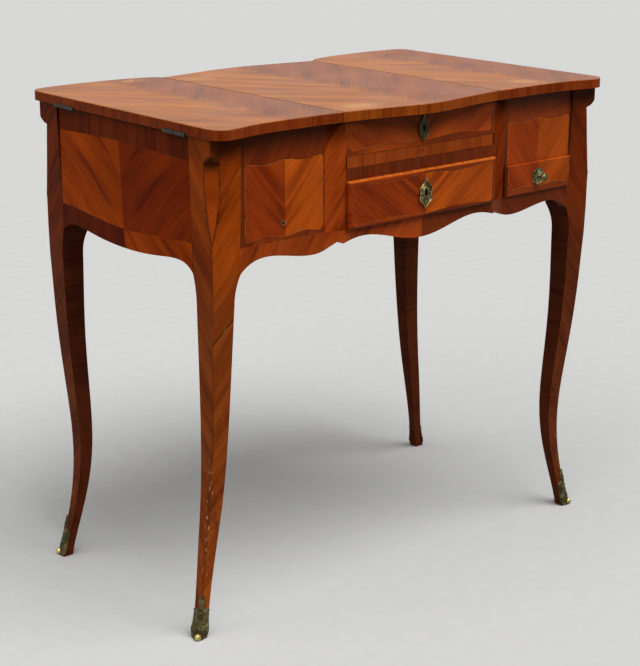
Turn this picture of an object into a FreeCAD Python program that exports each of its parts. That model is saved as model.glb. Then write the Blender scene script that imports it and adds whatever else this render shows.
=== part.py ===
import FreeCAD, Part
import math
import os

# A French style dressing table, a poudreuse: four cabriole legs carry a case with
# three lids. The outer lids open sideways over two wells. The middle lid has a
# mirror below it, slides forward on a carrier and tips up. Under it are a writing
# slide, a drawer, and a small drawer at the right.
# Millimetres. The origin is on the floor under the middle of the table. The sitter
# is at -Y, the sitter's right hand at +X, and +Z is up.

# Whole table
HEIGHT = 720.0
LID_THICKNESS = 14.0
LID_GAP = 0.3
RUN_GAP = 0.3
EDGE_EASE = 0.9

# Case
CASE_HALF_WIDTH = 364.0
CASE_HALF_DEPTH = 205.0
BOARD = 15.0
BREAK_FRONT = 8.0
FRONT_BOARD = 14.0
POST_WIDTH = 46.0
POST_DEPTH = 43.0
BLOCK_PROUD = 3.5
BLOCK_HEIGHT = 21.0
FLOOR_BOARD = 6.0

# Middle bay of the front, from its middle outwards
CENTRE_HALF_WIDTH = 143.3
STILE_WIDTH = 30.7
TURN_FLAT = 4.6
SEAM_OUTSIDE = 6.7
DIVIDER_OUTSIDE = 7.7
DIVIDER_BOARD = 15.0

# Heights of the front, from the lids down
FALSE_FRONT_HEIGHT = 48.1
SLIDE_THICKNESS = 16.0
SLIDE_FIT = 0.8
SLIDE_RAIL_HEIGHT = 16.0
DRAWER_OPENING_HEIGHT = 68.0
SMALL_OPENING_HEIGHT = 48.0

# Lids
TOP_OVERHANG = 6.0
SEAM_GAP = 0.6
CORNER_RADIUS = 22.0

# Plan of the lids: share of the way from the middle to the seam, or from the seam
# to the end, and overhang beyond the front of the middle bay or beyond the back
FRONT_BOW = [(0.0, 23.5), (0.3, 18.0), (0.633, 9.0), (1.0, 3.5)]
FRONT_EAR = [(0.0, 3.5), (0.227, 1.0), (0.455, 0.5), (0.66, 4.0), (0.836, 12.0), (1.0, 14.0)]
BACK_BOW = [(0.0, 22.0), (0.4, 17.0), (0.733, 8.0), (1.0, 2.5)]
BACK_EAR = [(0.0, 2.5), (0.1, 19.0), (0.25, 27.0), (0.477, 31.5), (0.736, 31.0), (1.0, 26.0)]

# Hinges
HINGE_LENGTH = 50.0
HINGE_POST_GAP = 2.0
MIRROR_HINGE_MARGIN = 20.0
KNUCKLE_RADIUS = 2.8
KNUCKLE_GAP = 0.4
PIN_RADIUS = 1.2
PIN_FIT = 0.08
LEAF_THICKNESS = 1.2
LEAF_MARGIN = 2.3
AXIS_OUTSIDE = 0.3
MIRROR_AXIS_OUTSIDE = 4.0

# Mirror, its carrier and the grooves that it slides in
GLASS_THICKNESS = 3.0
MIRROR_SIDE_MARGIN = 32.0
MIRROR_FRONT_MARGIN = 28.5
MIRROR_BACK_MARGIN = 30.5
MIRROR_FILLET = 9.0
CARRIER_RAIL_HEIGHT = 29.7
CARRIER_TRAVEL = 120.0
RUNNER_WIDTH = 16.0
RUNNER_HEIGHT = 16.0
RUNNER_LENGTH = 250.0
TONGUE_REACH = 4.5
TONGUE_HEIGHT = 6.0
GROOVE_SPARE = 8.0

# Writing slide
SLIDE_SIDE_GAP = 2.8
BACK_ROOM = 40.0
LIPPING = 12.0
LEATHER_MARGIN = 18.0
LEATHER_BACK_MARGIN = 54.0
LEATHER_THICKNESS = 1.2
CLEAT_HEIGHT = 8.0
CLEAT_WIDTH = 12.0
PULL_HOLE_RADIUS = 1.6
PULL_HOLE_DEPTH = 10.0

# Drawers
DRAWER_FIT = 0.6
DRAWER_SEAT = 0.3
DRAWER_PROUD = 7.0
DRAWER_FRONT_BOARD = 18.0
DRAWER_EDGE = 3.5
DRAWER_BOARD = 8.0
DRAWER_BOTTOM = 5.0
DRAWER_SIDE_DROP = 6.0
SMALL_PROUD = 4.0
SMALL_FRONT_BOARD = 16.0
SMALL_EDGE = 2.0
SMALL_INSET = 4.0
STRIP_WIDTH = 20.0
STRIP_HEIGHT = 8.0

# Locks
LOCK_WIDTH = 46.0
LOCK_DEPTH = 9.0
LOCK_MARGIN = 3.0
LID_LOCK_SEAT = 11.0
BOLT_WIDTH = 11.0
BOLT_DEPTH = 4.0
BOLT_HEIGHT = 14.0
BOLT_TRAVEL = 6.0
STRIKE_EXTRA = 0.8

# Key plates, with their outline as shares of the half width and the half height
PLATE_THICKNESS = 1.8
LID_PLATE_HEIGHT = 37.0
LID_PLATE_WIDTH = 18.0
DRAWER_PLATE_HEIGHT = 43.0
DRAWER_PLATE_WIDTH = 24.0
PLATE_NECK = (0.34, 0.66)
PLATE_SHOULDER = (0.94, 0.30)
PLATE_FLANK = (0.82, 0.0)
KEYHOLE_RADIUS = 2.1
KEYHOLE_SLOT = 2.2
KEYHOLE_RISE = 1.5
KEYHOLE_DROP = 7.0

# Knob of the small drawer and the empty eyelet opposite
ROSETTE_RADIUS = 13.0
ROSETTE_THICKNESS = 3.2
RIM_WIDTH = 2.4
RIM_HEIGHT = 1.4
RIM_DISH = 0.7
KNOB_RADIUS = 5.4
KNOB_NECK_RADIUS = 2.6
KNOB_WAIST_RADIUS = 1.8
KNOB_NECK = 5.2
EYELET_RADIUS = 3.6
EYELET_BORE = 2.0
EYELET_PROUD = 0.8
EYELET_DEPTH = 6.0

# Legs, from the foot up: share of the height of the leg, inset of the outer arris
# from the side and from the front or back of the case, share of the top thickness
LEG_STATIONS = [
    (0.0, -20.0, 20.0, 0.455),
    (0.092, -8.0, 26.9, 0.405),
    (0.207, 2.6, 31.5, 0.484),
    (0.345, 9.5, 28.7, 0.601),
    (0.528, 7.9, 17.1, 0.725),
    (0.739, 2.8, 6.2, 0.871),
    (0.921, 0.4, 0.8, 1.0),
]
CROOK_HOLLOW = 7.4
KNEE_RISE = 39.0

# Canted lobe on each corner, below the square block
LOBE_DROP = 0.7
LOBE_LENGTH = 112.0
LOBE_DEPTH = 9.9
LOBE_COVE = 10.0
COVE_ROUND = 0.38
LOBE_BELLY = 0.567

# Cast shoe on each foot: a shield up to a collar, a leaf above it and a ball toe
SHOE_HEIGHT = 64.0
SHOE_WALL = 1.8
SHOE_SPLAY = 12.0
COLLAR_SPLAY = 10.6
COLLAR_HEIGHT = 38.5
LEAF_SPLAY = 4.6
LEAF_RISE = 2.6
LEAF_MIDDLE_SPLAY = 3.7
TOE_INSET = 1.0
TOE_RADIUS = 4.8
TOE_TREAD_RADIUS = 3.6
TOE_TREAD_HEIGHT = 3.4
TOE_TOP_RADIUS = 1.5
TOE_HEIGHT = 9.8

# Lower edges, from the middle of a side outwards: share of the span, drop below
# the sill of the drawers. They end at the posts, at the full depth of the apron.
APRON_DEPTH = 35.0
APRON_MIDDLE = [(0.0, 31.0), (0.31, 25.0), (0.575, 15.0), (0.753, 12.5), (1.0, 18.5)]
APRON_WING = [(0.0, 15.5), (0.11, 25), (0.25, 28), (0.49, 23), (0.73, 18), (0.9, 23.5), (1.0, APRON_DEPTH)]
CUSP_OUTSIDE = 2.7
CUSP_WIDTH = 9.0
SIDE_EDGE = [(0.0, 31.0), (0.34, 29.0), (0.617, 23.5), (0.8, 22.0), (0.926, 26.0), (1.0, APRON_DEPTH)]
BACK_EDGE = [(0.0, 31.0), (0.44, 30.0), (0.755, 24.0), (0.896, 22.0), (0.962, 26.0), (1.0, APRON_DEPTH)]

# Places that follow, across the table
POST_INNER_X = CASE_HALF_WIDTH - POST_WIDTH
POST_INNER_Y = CASE_HALF_DEPTH - POST_DEPTH
PANEL_INNER_X = CASE_HALF_WIDTH - BOARD
BAY_FRONT = -CASE_HALF_DEPTH
CENTRE_FRONT = BAY_FRONT - BREAK_FRONT
INNER_FRONT = BAY_FRONT + FRONT_BOARD
INNER_BACK = CASE_HALF_DEPTH - BOARD
STILE_OUTER = CENTRE_HALF_WIDTH + STILE_WIDTH
SEAM_HALF_SPAN = CENTRE_HALF_WIDTH + SEAM_OUTSIDE
DIVIDER_INNER = CENTRE_HALF_WIDTH + DIVIDER_OUTSIDE
DIVIDER_OUTER = DIVIDER_INNER + DIVIDER_BOARD
TOP_HALF_WIDTH = CASE_HALF_WIDTH + TOP_OVERHANG
SLIDE_REACH = CENTRE_HALF_WIDTH - SLIDE_SIDE_GAP
SLIDE_BACK = INNER_BACK - BACK_ROOM
DRAWER_REACH = CENTRE_HALF_WIDTH - DRAWER_FIT
DRAWER_FACE = CENTRE_FRONT - DRAWER_PROUD
SMALL_FACE = BAY_FRONT - SMALL_PROUD
KNOB_OFFSET = (STILE_OUTER + POST_INNER_X) / 2
RUNNER_FRONT = INNER_BACK - RUNNER_LENGTH
GROOVE_FRONT = RUNNER_FRONT - CARRIER_TRAVEL - GROOVE_SPARE
LID_LOCK_FRONT = CENTRE_FRONT + LID_LOCK_SEAT
CLAMP_BACK = LID_LOCK_FRONT + (LOCK_DEPTH + BOLT_DEPTH) / 2 + STRIKE_EXTRA
DRAWER_LOCK_FRONT = DRAWER_FACE + DRAWER_FRONT_BOARD - LOCK_DEPTH

# Heights that follow
TOP_UNDERSIDE = HEIGHT - LID_THICKNESS
CASE_TOP = TOP_UNDERSIDE - LID_GAP
SLIDE_HEAD = CASE_TOP - FALSE_FRONT_HEIGHT
SLIDE_BASE = SLIDE_HEAD - SLIDE_FIT - SLIDE_THICKNESS
SLIDE_TOP = SLIDE_BASE + SLIDE_THICKNESS
SLIDE_SILL = SLIDE_BASE - SLIDE_FIT
DRAWER_HEAD = SLIDE_SILL - SLIDE_RAIL_HEIGHT
DRAWER_SILL = DRAWER_HEAD - DRAWER_OPENING_HEIGHT
DRAWER_BASE = DRAWER_SILL + DRAWER_SEAT
DRAWER_TOP = DRAWER_HEAD - DRAWER_FIT
SMALL_HEAD = DRAWER_SILL + SMALL_OPENING_HEIGHT
CROOK_HEIGHT = DRAWER_SILL - APRON_DEPTH
KNEE_HEIGHT = CROOK_HEIGHT + KNEE_RISE
BLOCK_BASE = CASE_TOP - BLOCK_HEIGHT
LOBE_TOP = BLOCK_BASE - LOBE_DROP
RUNNER_BASE = CASE_TOP - CARRIER_RAIL_HEIGHT
TONGUE_BASE = RUNNER_BASE + (RUNNER_HEIGHT - TONGUE_HEIGHT) / 2
LID_PLATE_CENTRE = (SLIDE_HEAD + CASE_TOP) / 2
DRAWER_PLATE_CENTRE = (DRAWER_SILL + DRAWER_HEAD) / 2
KNOB_HEIGHT = (DRAWER_SILL + SMALL_HEAD) / 2

# Hinge axes and leaves that follow
HINGE_AXIS_Z = (CASE_TOP + TOP_UNDERSIDE) / 2
SIDE_AXIS_X = TOP_HALF_WIDTH + AXIS_OUTSIDE
MIRROR_AXIS_Y = CASE_HALF_DEPTH + MIRROR_AXIS_OUTSIDE
LEAF_DEPTH = SIDE_AXIS_X - PANEL_INNER_X - LEAF_MARGIN
HINGE_OFFSET = POST_INNER_Y - HINGE_POST_GAP - HINGE_LENGTH / 2
MIRROR_HINGE_OFFSET = SEAM_HALF_SPAN - MIRROR_HINGE_MARGIN - HINGE_LENGTH / 2

# Working values: reach of a cutter across the table and past a face, and tolerances
FAR = 1000.0
OVERCUT = 1.0
CORNER_CUT = 20.0
CURVE_FIT = 0.25
SAME_PLACE = 0.01
UP = FreeCAD.Vector(0, 0, 1)


def point(x, y, z):
    return FreeCAD.Vector(x, y, z)


def box(x0, x1, y0, y1, z0, z1):
    """A block between two corners, given in any order."""
    low = point(min(x0, x1), min(y0, y1), min(z0, z1))
    return Part.makeBox(abs(x1 - x0), abs(y1 - y0), abs(z1 - z0), low)


def mirrored(shape, normal=FreeCAD.Vector(1, 0, 0)):
    """The same shape on the other side of the table."""
    return shape.mirror(point(0, 0, 0), normal)


def solid_of(shape):
    """The single solid that a cut or a fuse leaves."""
    clean = shape.removeSplitter()
    return clean.Solids[0] if len(clean.Solids) == 1 else clean


def line(a, b):
    return Part.makeLine(a, b)


def arc(a, middle, b):
    return Part.Arc(a, middle, b).toShape()


def spline(points):
    """A smooth edge along the points, within a hair of each."""
    curve = Part.BSplineCurve()
    curve.approximate(Points=points, DegMin=3, DegMax=8, Tolerance=CURVE_FIT)
    return curve.toShape()


def arc_from(start, along, end):
    """The arc that leaves a point in a direction and reaches another point."""
    chord = end - start
    unit = along / along.Length
    side = chord - unit * chord.dot(unit)
    angle = math.atan2(side.Length, chord.dot(unit))
    radius = chord.Length / (2 * math.sin(angle))
    side = side / side.Length
    middle = start + unit * (radius * math.sin(angle)) + side * (radius * (1 - math.cos(angle)))
    return arc(start, middle, end)


def slab(edges, direction):
    """A closed outline, its edges in any order, pushed along a direction."""
    return Part.Face(Part.Wire(Part.__sortEdges__(edges))).extrude(direction)


def round_edges(shape, radius, chosen):
    """Rounds the edges that a test picks."""
    return shape.makeFillet(radius, [edge for edge in shape.Edges if chosen(edge)])


def ease_edges(shape, size, chosen):
    """Takes the sharpness off the edges that a test picks."""
    return shape.makeChamfer(size, [edge for edge in shape.Edges if chosen(edge)])


def at_height(edge, height):
    bounds = edge.BoundBox
    return max(abs(bounds.ZMin - height), abs(bounds.ZMax - height)) < SAME_PLACE


def at_front(edge, reach):
    bounds = edge.BoundBox
    return max(abs(bounds.YMin - reach), abs(bounds.YMax - reach)) < SAME_PLACE


def both_sides(points):
    """Points from the middle outwards, carried on to the other side."""
    return [(-offset, other) for offset, other in reversed(points[1:])] + points


def leg_stations():
    """Height, reach of the outer arris in X and Y, and thickness, from the foot up."""
    top_thickness = POST_DEPTH - CROOK_HOLLOW
    return [
        (CROOK_HEIGHT * rise, CASE_HALF_WIDTH - inset_x, CASE_HALF_DEPTH - inset_y, top_thickness * share)
        for rise, inset_x, inset_y, share in LEG_STATIONS
    ]


def section(height, reach_x, reach_y, width, depth):
    """Rectangular cross-section of a leg, measured inwards from its outer arris."""
    corners_xy = [
        (reach_x, reach_y),
        (reach_x - width, reach_y),
        (reach_x - width, reach_y - depth),
        (reach_x, reach_y - depth),
    ]
    return Part.makePolygon([point(x, y, height) for x, y in corners_xy + corners_xy[:1]])


def leg_curve(grow=0.0):
    """The curved part of a leg at +X +Y, with its outer faces grown outwards."""
    rows = [section(z, x + grow, y + grow, t + grow, t + grow) for z, x, y, t in leg_stations()]
    return Part.makeLoft(rows, True, False)


def hollow(inner, post_inner, low):
    """Radius and centre of the arc that turns from leg to post."""
    rise = CROOK_HEIGHT - low
    run = inner - post_inner
    radius = (rise * rise + run * run) / (2 * run)
    return radius, inner - radius


def crook():
    """Short length between leg and post, hollowed on its two inner faces."""
    low, reach_x, reach_y, thickness = leg_stations()[-1]
    bottom = section(low, reach_x, reach_y, reach_x - POST_INNER_X, reach_y - POST_INNER_Y)
    top = section(CROOK_HEIGHT, CASE_HALF_WIDTH, CASE_HALF_DEPTH, POST_WIDTH, POST_DEPTH)
    blank = Part.makeLoft([bottom, top], True, True)
    radius, centre = hollow(reach_x - thickness, POST_INNER_X, low)
    blank = blank.cut(Part.makeCylinder(radius, 2 * FAR, point(centre, -FAR, low), point(0, 1, 0)))
    radius, centre = hollow(reach_y - thickness, POST_INNER_Y, low)
    return blank.cut(Part.makeCylinder(radius, 2 * FAR, point(-FAR, centre, low), point(1, 0, 0)))


def post():
    """Straight post, swelling slightly to the square block under the lid."""
    x, y, proud = CASE_HALF_WIDTH, CASE_HALF_DEPTH, BLOCK_PROUD
    knee = box(POST_INNER_X, x, POST_INNER_Y, y, CROOK_HEIGHT, KNEE_HEIGHT)
    narrow = section(KNEE_HEIGHT, x, y, POST_WIDTH, POST_DEPTH)
    wide = section(BLOCK_BASE, x + proud, y + proud, POST_WIDTH + proud, POST_DEPTH + proud)
    swell = Part.makeLoft([narrow, wide], True, True)
    head = box(POST_INNER_X, x + proud, POST_INNER_Y, y + proud, BLOCK_BASE, CASE_TOP)
    return knee.multiFuse([swell, head])


def lobe_cutter():
    """The canted lobe: a cove at its top and a flat that runs out on the arris."""
    corner_x = CASE_HALF_WIDTH + BLOCK_PROUD
    corner_y = CASE_HALF_DEPTH + BLOCK_PROUD
    depth = LOBE_DEPTH + BLOCK_PROUD / math.sqrt(2)
    runout = BLOCK_PROUD * math.sqrt(2)
    belly = runout + (depth - runout) * LOBE_BELLY
    bottom = LOBE_TOP - LOBE_LENGTH

    def place(inward, height):
        step = inward / math.sqrt(2)
        return point(corner_x - step, corner_y - step, height)

    cove_end = place(depth, LOBE_TOP - LOBE_COVE)
    cove_middle = place(depth * COVE_ROUND, LOBE_TOP - LOBE_COVE * (1 - COVE_ROUND))
    edges = [
        line(place(-CORNER_CUT, bottom), place(-CORNER_CUT, LOBE_TOP)),
        line(place(-CORNER_CUT, LOBE_TOP), place(0, LOBE_TOP)),
        arc(place(0, LOBE_TOP), cove_middle, cove_end),
        arc(cove_end, place(belly, LOBE_TOP - LOBE_LENGTH / 2), place(runout, bottom)),
        line(place(runout, bottom), place(-CORNER_CUT, bottom)),
    ]
    cutter = slab(edges, point(2 * CORNER_CUT, -2 * CORNER_CUT, 0))
    return cutter.translated(point(-CORNER_CUT, CORNER_CUT, 0))


def leg():
    """Cabriole leg with its post, cove and lobe, for the +X +Y corner."""
    return solid_of(leg_curve().multiFuse([crook(), post()]).cut(lobe_cutter()))


def shoe():
    """Cast bronze shoe over the outer arris of the foot, for the +X +Y corner."""
    foot_x, foot_y = leg_stations()[0][1:3]

    def place(across, height):
        step = across / math.sqrt(2)
        return point(foot_x + FAR + step, foot_y + FAR - step, height)

    leaf_base = COLLAR_HEIGHT + LEAF_RISE
    leaf_middle = (leaf_base + SHOE_HEIGHT) / 2
    edges = [line(place(-SHOE_SPLAY, 0), place(SHOE_SPLAY, 0))]
    for side in (1, -1):
        collar = place(side * COLLAR_SPLAY, COLLAR_HEIGHT)
        shoulder = place(side * LEAF_SPLAY, leaf_base)
        edges.append(line(place(side * SHOE_SPLAY, 0), collar))
        edges.append(line(collar, shoulder))
        edges.append(arc(shoulder, place(side * LEAF_MIDDLE_SPLAY, leaf_middle), place(0, SHOE_HEIGHT)))
    outline = slab(edges, point(-2 * FAR, -2 * FAR, 0))
    shield = leg_curve(SHOE_WALL).common(outline)

    toe_x, toe_y = foot_x - TOE_INSET, foot_y - TOE_INSET
    tread = Part.makeCone(TOE_TREAD_RADIUS, TOE_RADIUS, TOE_TREAD_HEIGHT, point(toe_x, toe_y, 0))
    dome = Part.makeCone(TOE_RADIUS, TOE_TOP_RADIUS, TOE_HEIGHT - TOE_TREAD_HEIGHT,
                         point(toe_x, toe_y, TOE_TREAD_HEIGHT))
    return solid_of(shield.multiFuse([tread, dome]).cut(leg_curve()))


def front_band(low, high):
    """The front wall in plan, straight in the wings and forward in the middle."""
    turn = STILE_OUTER - TURN_FLAT
    middle_x = (turn + CENTRE_HALF_WIDTH) / 2
    middle_y = (BAY_FRONT + CENTRE_FRONT) / 2
    edges = [line(point(-CENTRE_HALF_WIDTH, CENTRE_FRONT, low), point(CENTRE_HALF_WIDTH, CENTRE_FRONT, low))]
    for side in (1, -1):
        end = side * POST_INNER_X
        middle = point(side * middle_x, middle_y, low)
        edges.append(arc_from(point(side * CENTRE_HALF_WIDTH, CENTRE_FRONT, low), point(side, 0, 0), middle))
        edges.append(arc_from(point(side * turn, BAY_FRONT, low), point(-side, 0, 0), middle))
        edges.append(line(point(side * turn, BAY_FRONT, low), point(end, BAY_FRONT, low)))
        edges.append(line(point(end, BAY_FRONT, low), point(end, INNER_FRONT, low)))
    edges.append(line(point(-POST_INNER_X, INNER_FRONT, low), point(POST_INNER_X, INNER_FRONT, low)))
    return slab(edges, point(0, 0, high - low))


def band_piece(x0, x1, low, high):
    """The part of the front wall between two offsets."""
    return solid_of(front_band(low, high).common(box(x0, x1, -FAR, FAR, low, high)))


def lower_edge(shape, start, end):
    """Offsets and heights along a shaped lower edge."""
    return [(start + share * (end - start), DRAWER_SILL - drop) for share, drop in shape]


def front_apron():
    """Shaped rail under the drawers: a bowed middle, a cusp, and hollow wings."""

    def place(offset, height):
        return point(offset, -FAR, height)

    cusp = CENTRE_HALF_WIDTH + CUSP_OUTSIDE
    middle = lower_edge(APRON_MIDDLE, 0, cusp)
    wing = lower_edge(APRON_WING, cusp + CUSP_WIDTH, POST_INNER_X)
    edges = [spline([place(o, h) for o, h in both_sides(middle)])]
    for side in (1, -1):
        edges.append(line(place(side * middle[-1][0], middle[-1][1]), place(side * wing[0][0], wing[0][1])))
        edges.append(spline([place(side * o, h) for o, h in wing]))
        edges.append(line(place(side * POST_INNER_X, CROOK_HEIGHT), place(side * POST_INNER_X, DRAWER_SILL)))
    edges.append(line(place(-POST_INNER_X, DRAWER_SILL), place(POST_INNER_X, DRAWER_SILL)))
    face = slab(edges, point(0, 2 * FAR, 0))
    return solid_of(front_band(CROOK_HEIGHT - OVERCUT, DRAWER_SILL).common(face))


def shaped_board(shape, reach, place, thickness):
    """A board up to the top of the case, with a shaped lower edge."""
    outline = both_sides(lower_edge(shape, 0, reach))
    edges = [
        spline([place(o, h) for o, h in outline]),
        line(place(reach, CROOK_HEIGHT), place(reach, CASE_TOP)),
        line(place(reach, CASE_TOP), place(-reach, CASE_TOP)),
        line(place(-reach, CASE_TOP), place(-reach, CROOK_HEIGHT)),
    ]
    return slab(edges, thickness)


def side_panel():
    """Right side board, recessed on top for the hinge leaves."""

    def place(offset, height):
        return point(PANEL_INNER_X, offset, height)

    panel = shaped_board(SIDE_EDGE, POST_INNER_Y, place, point(BOARD, 0, 0))
    for middle in (-HINGE_OFFSET, HINGE_OFFSET):
        panel = panel.cut(leaf_seat().translated(point(SIDE_AXIS_X, middle, HINGE_AXIS_Z)))
    return solid_of(panel)


def back_panel():
    """Back board, let down in the middle for the mirror carrier."""

    def place(offset, height):
        return point(offset, INNER_BACK, height)

    panel = shaped_board(BACK_EDGE, POST_INNER_X, place, point(0, BOARD, 0))
    notch = box(-DIVIDER_INNER, DIVIDER_INNER, -FAR, FAR, RUNNER_BASE - RUN_GAP, FAR)
    return solid_of(panel.cut(notch))


def divider():
    """Right divider, grooved on its inner face for the tongue of the carrier."""
    board = box(DIVIDER_INNER, DIVIDER_OUTER, INNER_FRONT, INNER_BACK, DRAWER_SILL - FLOOR_BOARD, CASE_TOP)
    groove = box(0, DIVIDER_INNER + TONGUE_REACH + RUN_GAP, GROOVE_FRONT, FAR,
                 TONGUE_BASE - RUN_GAP, TONGUE_BASE + TONGUE_HEIGHT + RUN_GAP)
    return solid_of(board.cut(groove))


def bay_board(top, side):
    """A floor between a divider and a side, notched for the posts."""
    board = box(side * DIVIDER_OUTER, side * PANEL_INNER_X, INNER_FRONT, INNER_BACK, top - FLOOR_BOARD, top)
    for end in (1, -1):
        board = board.cut(box(side * POST_INNER_X, side * FAR, end * POST_INNER_Y, end * FAR, -FAR, FAR))
    return solid_of(board)


def tray_floor():
    """Floor of the tray below the mirror."""
    top = SLIDE_HEAD + FLOOR_BOARD
    return box(-DIVIDER_INNER, DIVIDER_INNER, INNER_FRONT, INNER_BACK, SLIDE_HEAD, top)


def overhang(shape, start, end, face):
    """Points of a lid's edge that stand out beyond a face of the case."""
    outward = math.copysign(1, face)
    return [(start + share * (end - start), face + outward * over) for share, over in shape]


def lid_blank(front, back):
    """A lid with curved front and back edges and straight ends."""

    def place(spot):
        return point(spot[0], spot[1], TOP_UNDERSIDE)

    edges = [
        spline([place(spot) for spot in front]),
        spline([place(spot) for spot in back]),
        line(place(front[0]), place(back[0])),
        line(place(front[-1]), place(back[-1])),
    ]
    return slab(edges, point(0, 0, LID_THICKNESS))


def eased(lid):
    return ease_edges(lid, EDGE_EASE, lambda edge: at_height(edge, HEIGHT))


def side_lid():
    """Right lid: serpentine front and back, straight side, rounded corners."""
    lid = lid_blank(overhang(FRONT_EAR, SEAM_HALF_SPAN, TOP_HALF_WIDTH, CENTRE_FRONT),
                    overhang(BACK_EAR, SEAM_HALF_SPAN, TOP_HALF_WIDTH, CASE_HALF_DEPTH))
    lid = round_edges(lid, CORNER_RADIUS, lambda edge: edge.BoundBox.XMin > TOP_HALF_WIDTH - SAME_PLACE
                      and edge.BoundBox.ZLength > LID_THICKNESS - SAME_PLACE)
    lid = eased(lid.cut(box(0, SEAM_HALF_SPAN + SEAM_GAP / 2, -FAR, FAR, 0, FAR)))
    for middle in (-HINGE_OFFSET, HINGE_OFFSET):
        lid = lid.cut(hinge_room().translated(point(SIDE_AXIS_X, middle, HINGE_AXIS_Z)))
    return solid_of(lid)


def middle_lid():
    """The whole middle lid, bowed in front and behind."""
    lid = lid_blank(both_sides(overhang(FRONT_BOW, 0, SEAM_HALF_SPAN, CENTRE_FRONT)),
                    both_sides(overhang(BACK_BOW, 0, SEAM_HALF_SPAN, CASE_HALF_DEPTH)))
    reach = SEAM_HALF_SPAN - SEAM_GAP / 2
    return eased(lid.common(box(-reach, reach, -FAR, FAR, 0, FAR)))


def mirror_lid():
    """Middle lid behind its clamp, recessed below for the glass, its fillet and hinges."""
    lid = middle_lid().common(box(-FAR, FAR, CLAMP_BACK, FAR, 0, FAR))
    lid = lid.cut(mirror_recess())
    for middle in (-MIRROR_HINGE_OFFSET, MIRROR_HINGE_OFFSET):
        lid = lid.cut(turned_to_back(hinge_room(), middle))
    return solid_of(lid)


def mirror_lid_clamp():
    """The two lengths of the clamp along the front of the middle lid."""
    clamp = middle_lid().common(box(-FAR, FAR, -FAR, CLAMP_BACK, 0, FAR))
    return Part.makeCompound(clamp.cut(lid_block_room()).Solids)


def lid_block_room():
    return box(-LOCK_WIDTH / 2, LOCK_WIDTH / 2, -FAR, CLAMP_BACK, 0, FAR)


def mirror_lid_block():
    """Hard block between the lengths of the clamp; the bolt enters a notch in its back."""
    notch = strike(LID_LOCK_FRONT, TOP_UNDERSIDE)
    notch = notch.fuse(notch.translated(point(0, OVERCUT, 0)))
    return solid_of(middle_lid().common(lid_block_room()).cut(notch))


def mirror_recess(inset=0.0):
    """Room for the mirror in the underside of its lid, or a smaller one inside it."""
    reach = SEAM_HALF_SPAN - MIRROR_SIDE_MARGIN - inset
    front = CENTRE_FRONT + MIRROR_FRONT_MARGIN + inset
    back = CASE_HALF_DEPTH - MIRROR_BACK_MARGIN - inset
    return box(-reach, reach, front, back, TOP_UNDERSIDE, TOP_UNDERSIDE + GLASS_THICKNESS)


def mirror_glass():
    return mirror_recess(MIRROR_FILLET)


def mirror_fillet():
    """Flat wooden frame around the glass."""
    return solid_of(mirror_recess().cut(mirror_glass()))


def knuckles():
    """The two lengths of a hinge barrel along its axis, from its middle."""
    gap = KNUCKLE_GAP / 2
    half = HINGE_LENGTH / 2
    return (gap - half, -gap), (gap, half - gap)


def along_axis(radius, start, end):
    return Part.makeCylinder(radius, end - start, point(0, start, 0), point(0, 1, 0))


def hinge_half(fixed):
    """Half of a butt hinge about the Y axis, with its leaf towards -X."""
    lower, upper = knuckles()
    own, other = (lower, upper) if fixed else (upper, lower)
    half = HINGE_LENGTH / 2
    leaf_base = -LID_GAP / 2 - LEAF_THICKNESS if fixed else LID_GAP / 2
    leaf = box(-LEAF_DEPTH, -PIN_RADIUS, -half, half, leaf_base, leaf_base + LEAF_THICKNESS)
    clear = KNUCKLE_RADIUS + RUN_GAP
    leaf = leaf.cut(box(-clear, clear, other[0] - KNUCKLE_GAP, other[1] + KNUCKLE_GAP, -clear, clear))
    body = leaf.fuse(along_axis(KNUCKLE_RADIUS, own[0], own[1]))
    if fixed:
        return solid_of(body.fuse(along_axis(PIN_RADIUS, lower[0], upper[1])))
    return solid_of(body.cut(along_axis(PIN_RADIUS + PIN_FIT, -half, half)))


def leaf_seat():
    """Room in the case for a fixed leaf, open at the top."""
    half = HINGE_LENGTH / 2
    return box(-LEAF_DEPTH, 0, -half, half, -LID_GAP / 2 - LEAF_THICKNESS, OVERCUT)


def hinge_room():
    """Room in a lid for the barrel and the moving leaf."""
    half = HINGE_LENGTH / 2
    clear = KNUCKLE_RADIUS + RUN_GAP
    barrel = box(-clear, clear, -half, half, -clear, clear)
    return barrel.fuse(box(-LEAF_DEPTH, 0, -half, half, -OVERCUT, LID_GAP / 2 + LEAF_THICKNESS))


def turned_to_back(shape, middle):
    """A hinge shape, made about the Y axis, set on the mirror's axis."""
    turned = shape.copy()
    turned.rotate(point(0, 0, 0), UP, 90)
    return turned.translated(point(middle, MIRROR_AXIS_Y, HINGE_AXIS_Z))


def side_hinges(fixed):
    """Halves of both right hinges, seated on the side board or in the lid."""
    half = hinge_half(fixed)
    spots = [point(SIDE_AXIS_X, middle, HINGE_AXIS_Z) for middle in (-HINGE_OFFSET, HINGE_OFFSET)]
    return Part.makeCompound([half.translated(spot) for spot in spots])


def mirror_hinges(fixed):
    """Halves of both hinges at the back of the middle lid."""
    half = hinge_half(fixed)
    offsets = (-MIRROR_HINGE_OFFSET, MIRROR_HINGE_OFFSET)
    return Part.makeCompound([turned_to_back(half, middle) for middle in offsets])


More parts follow.
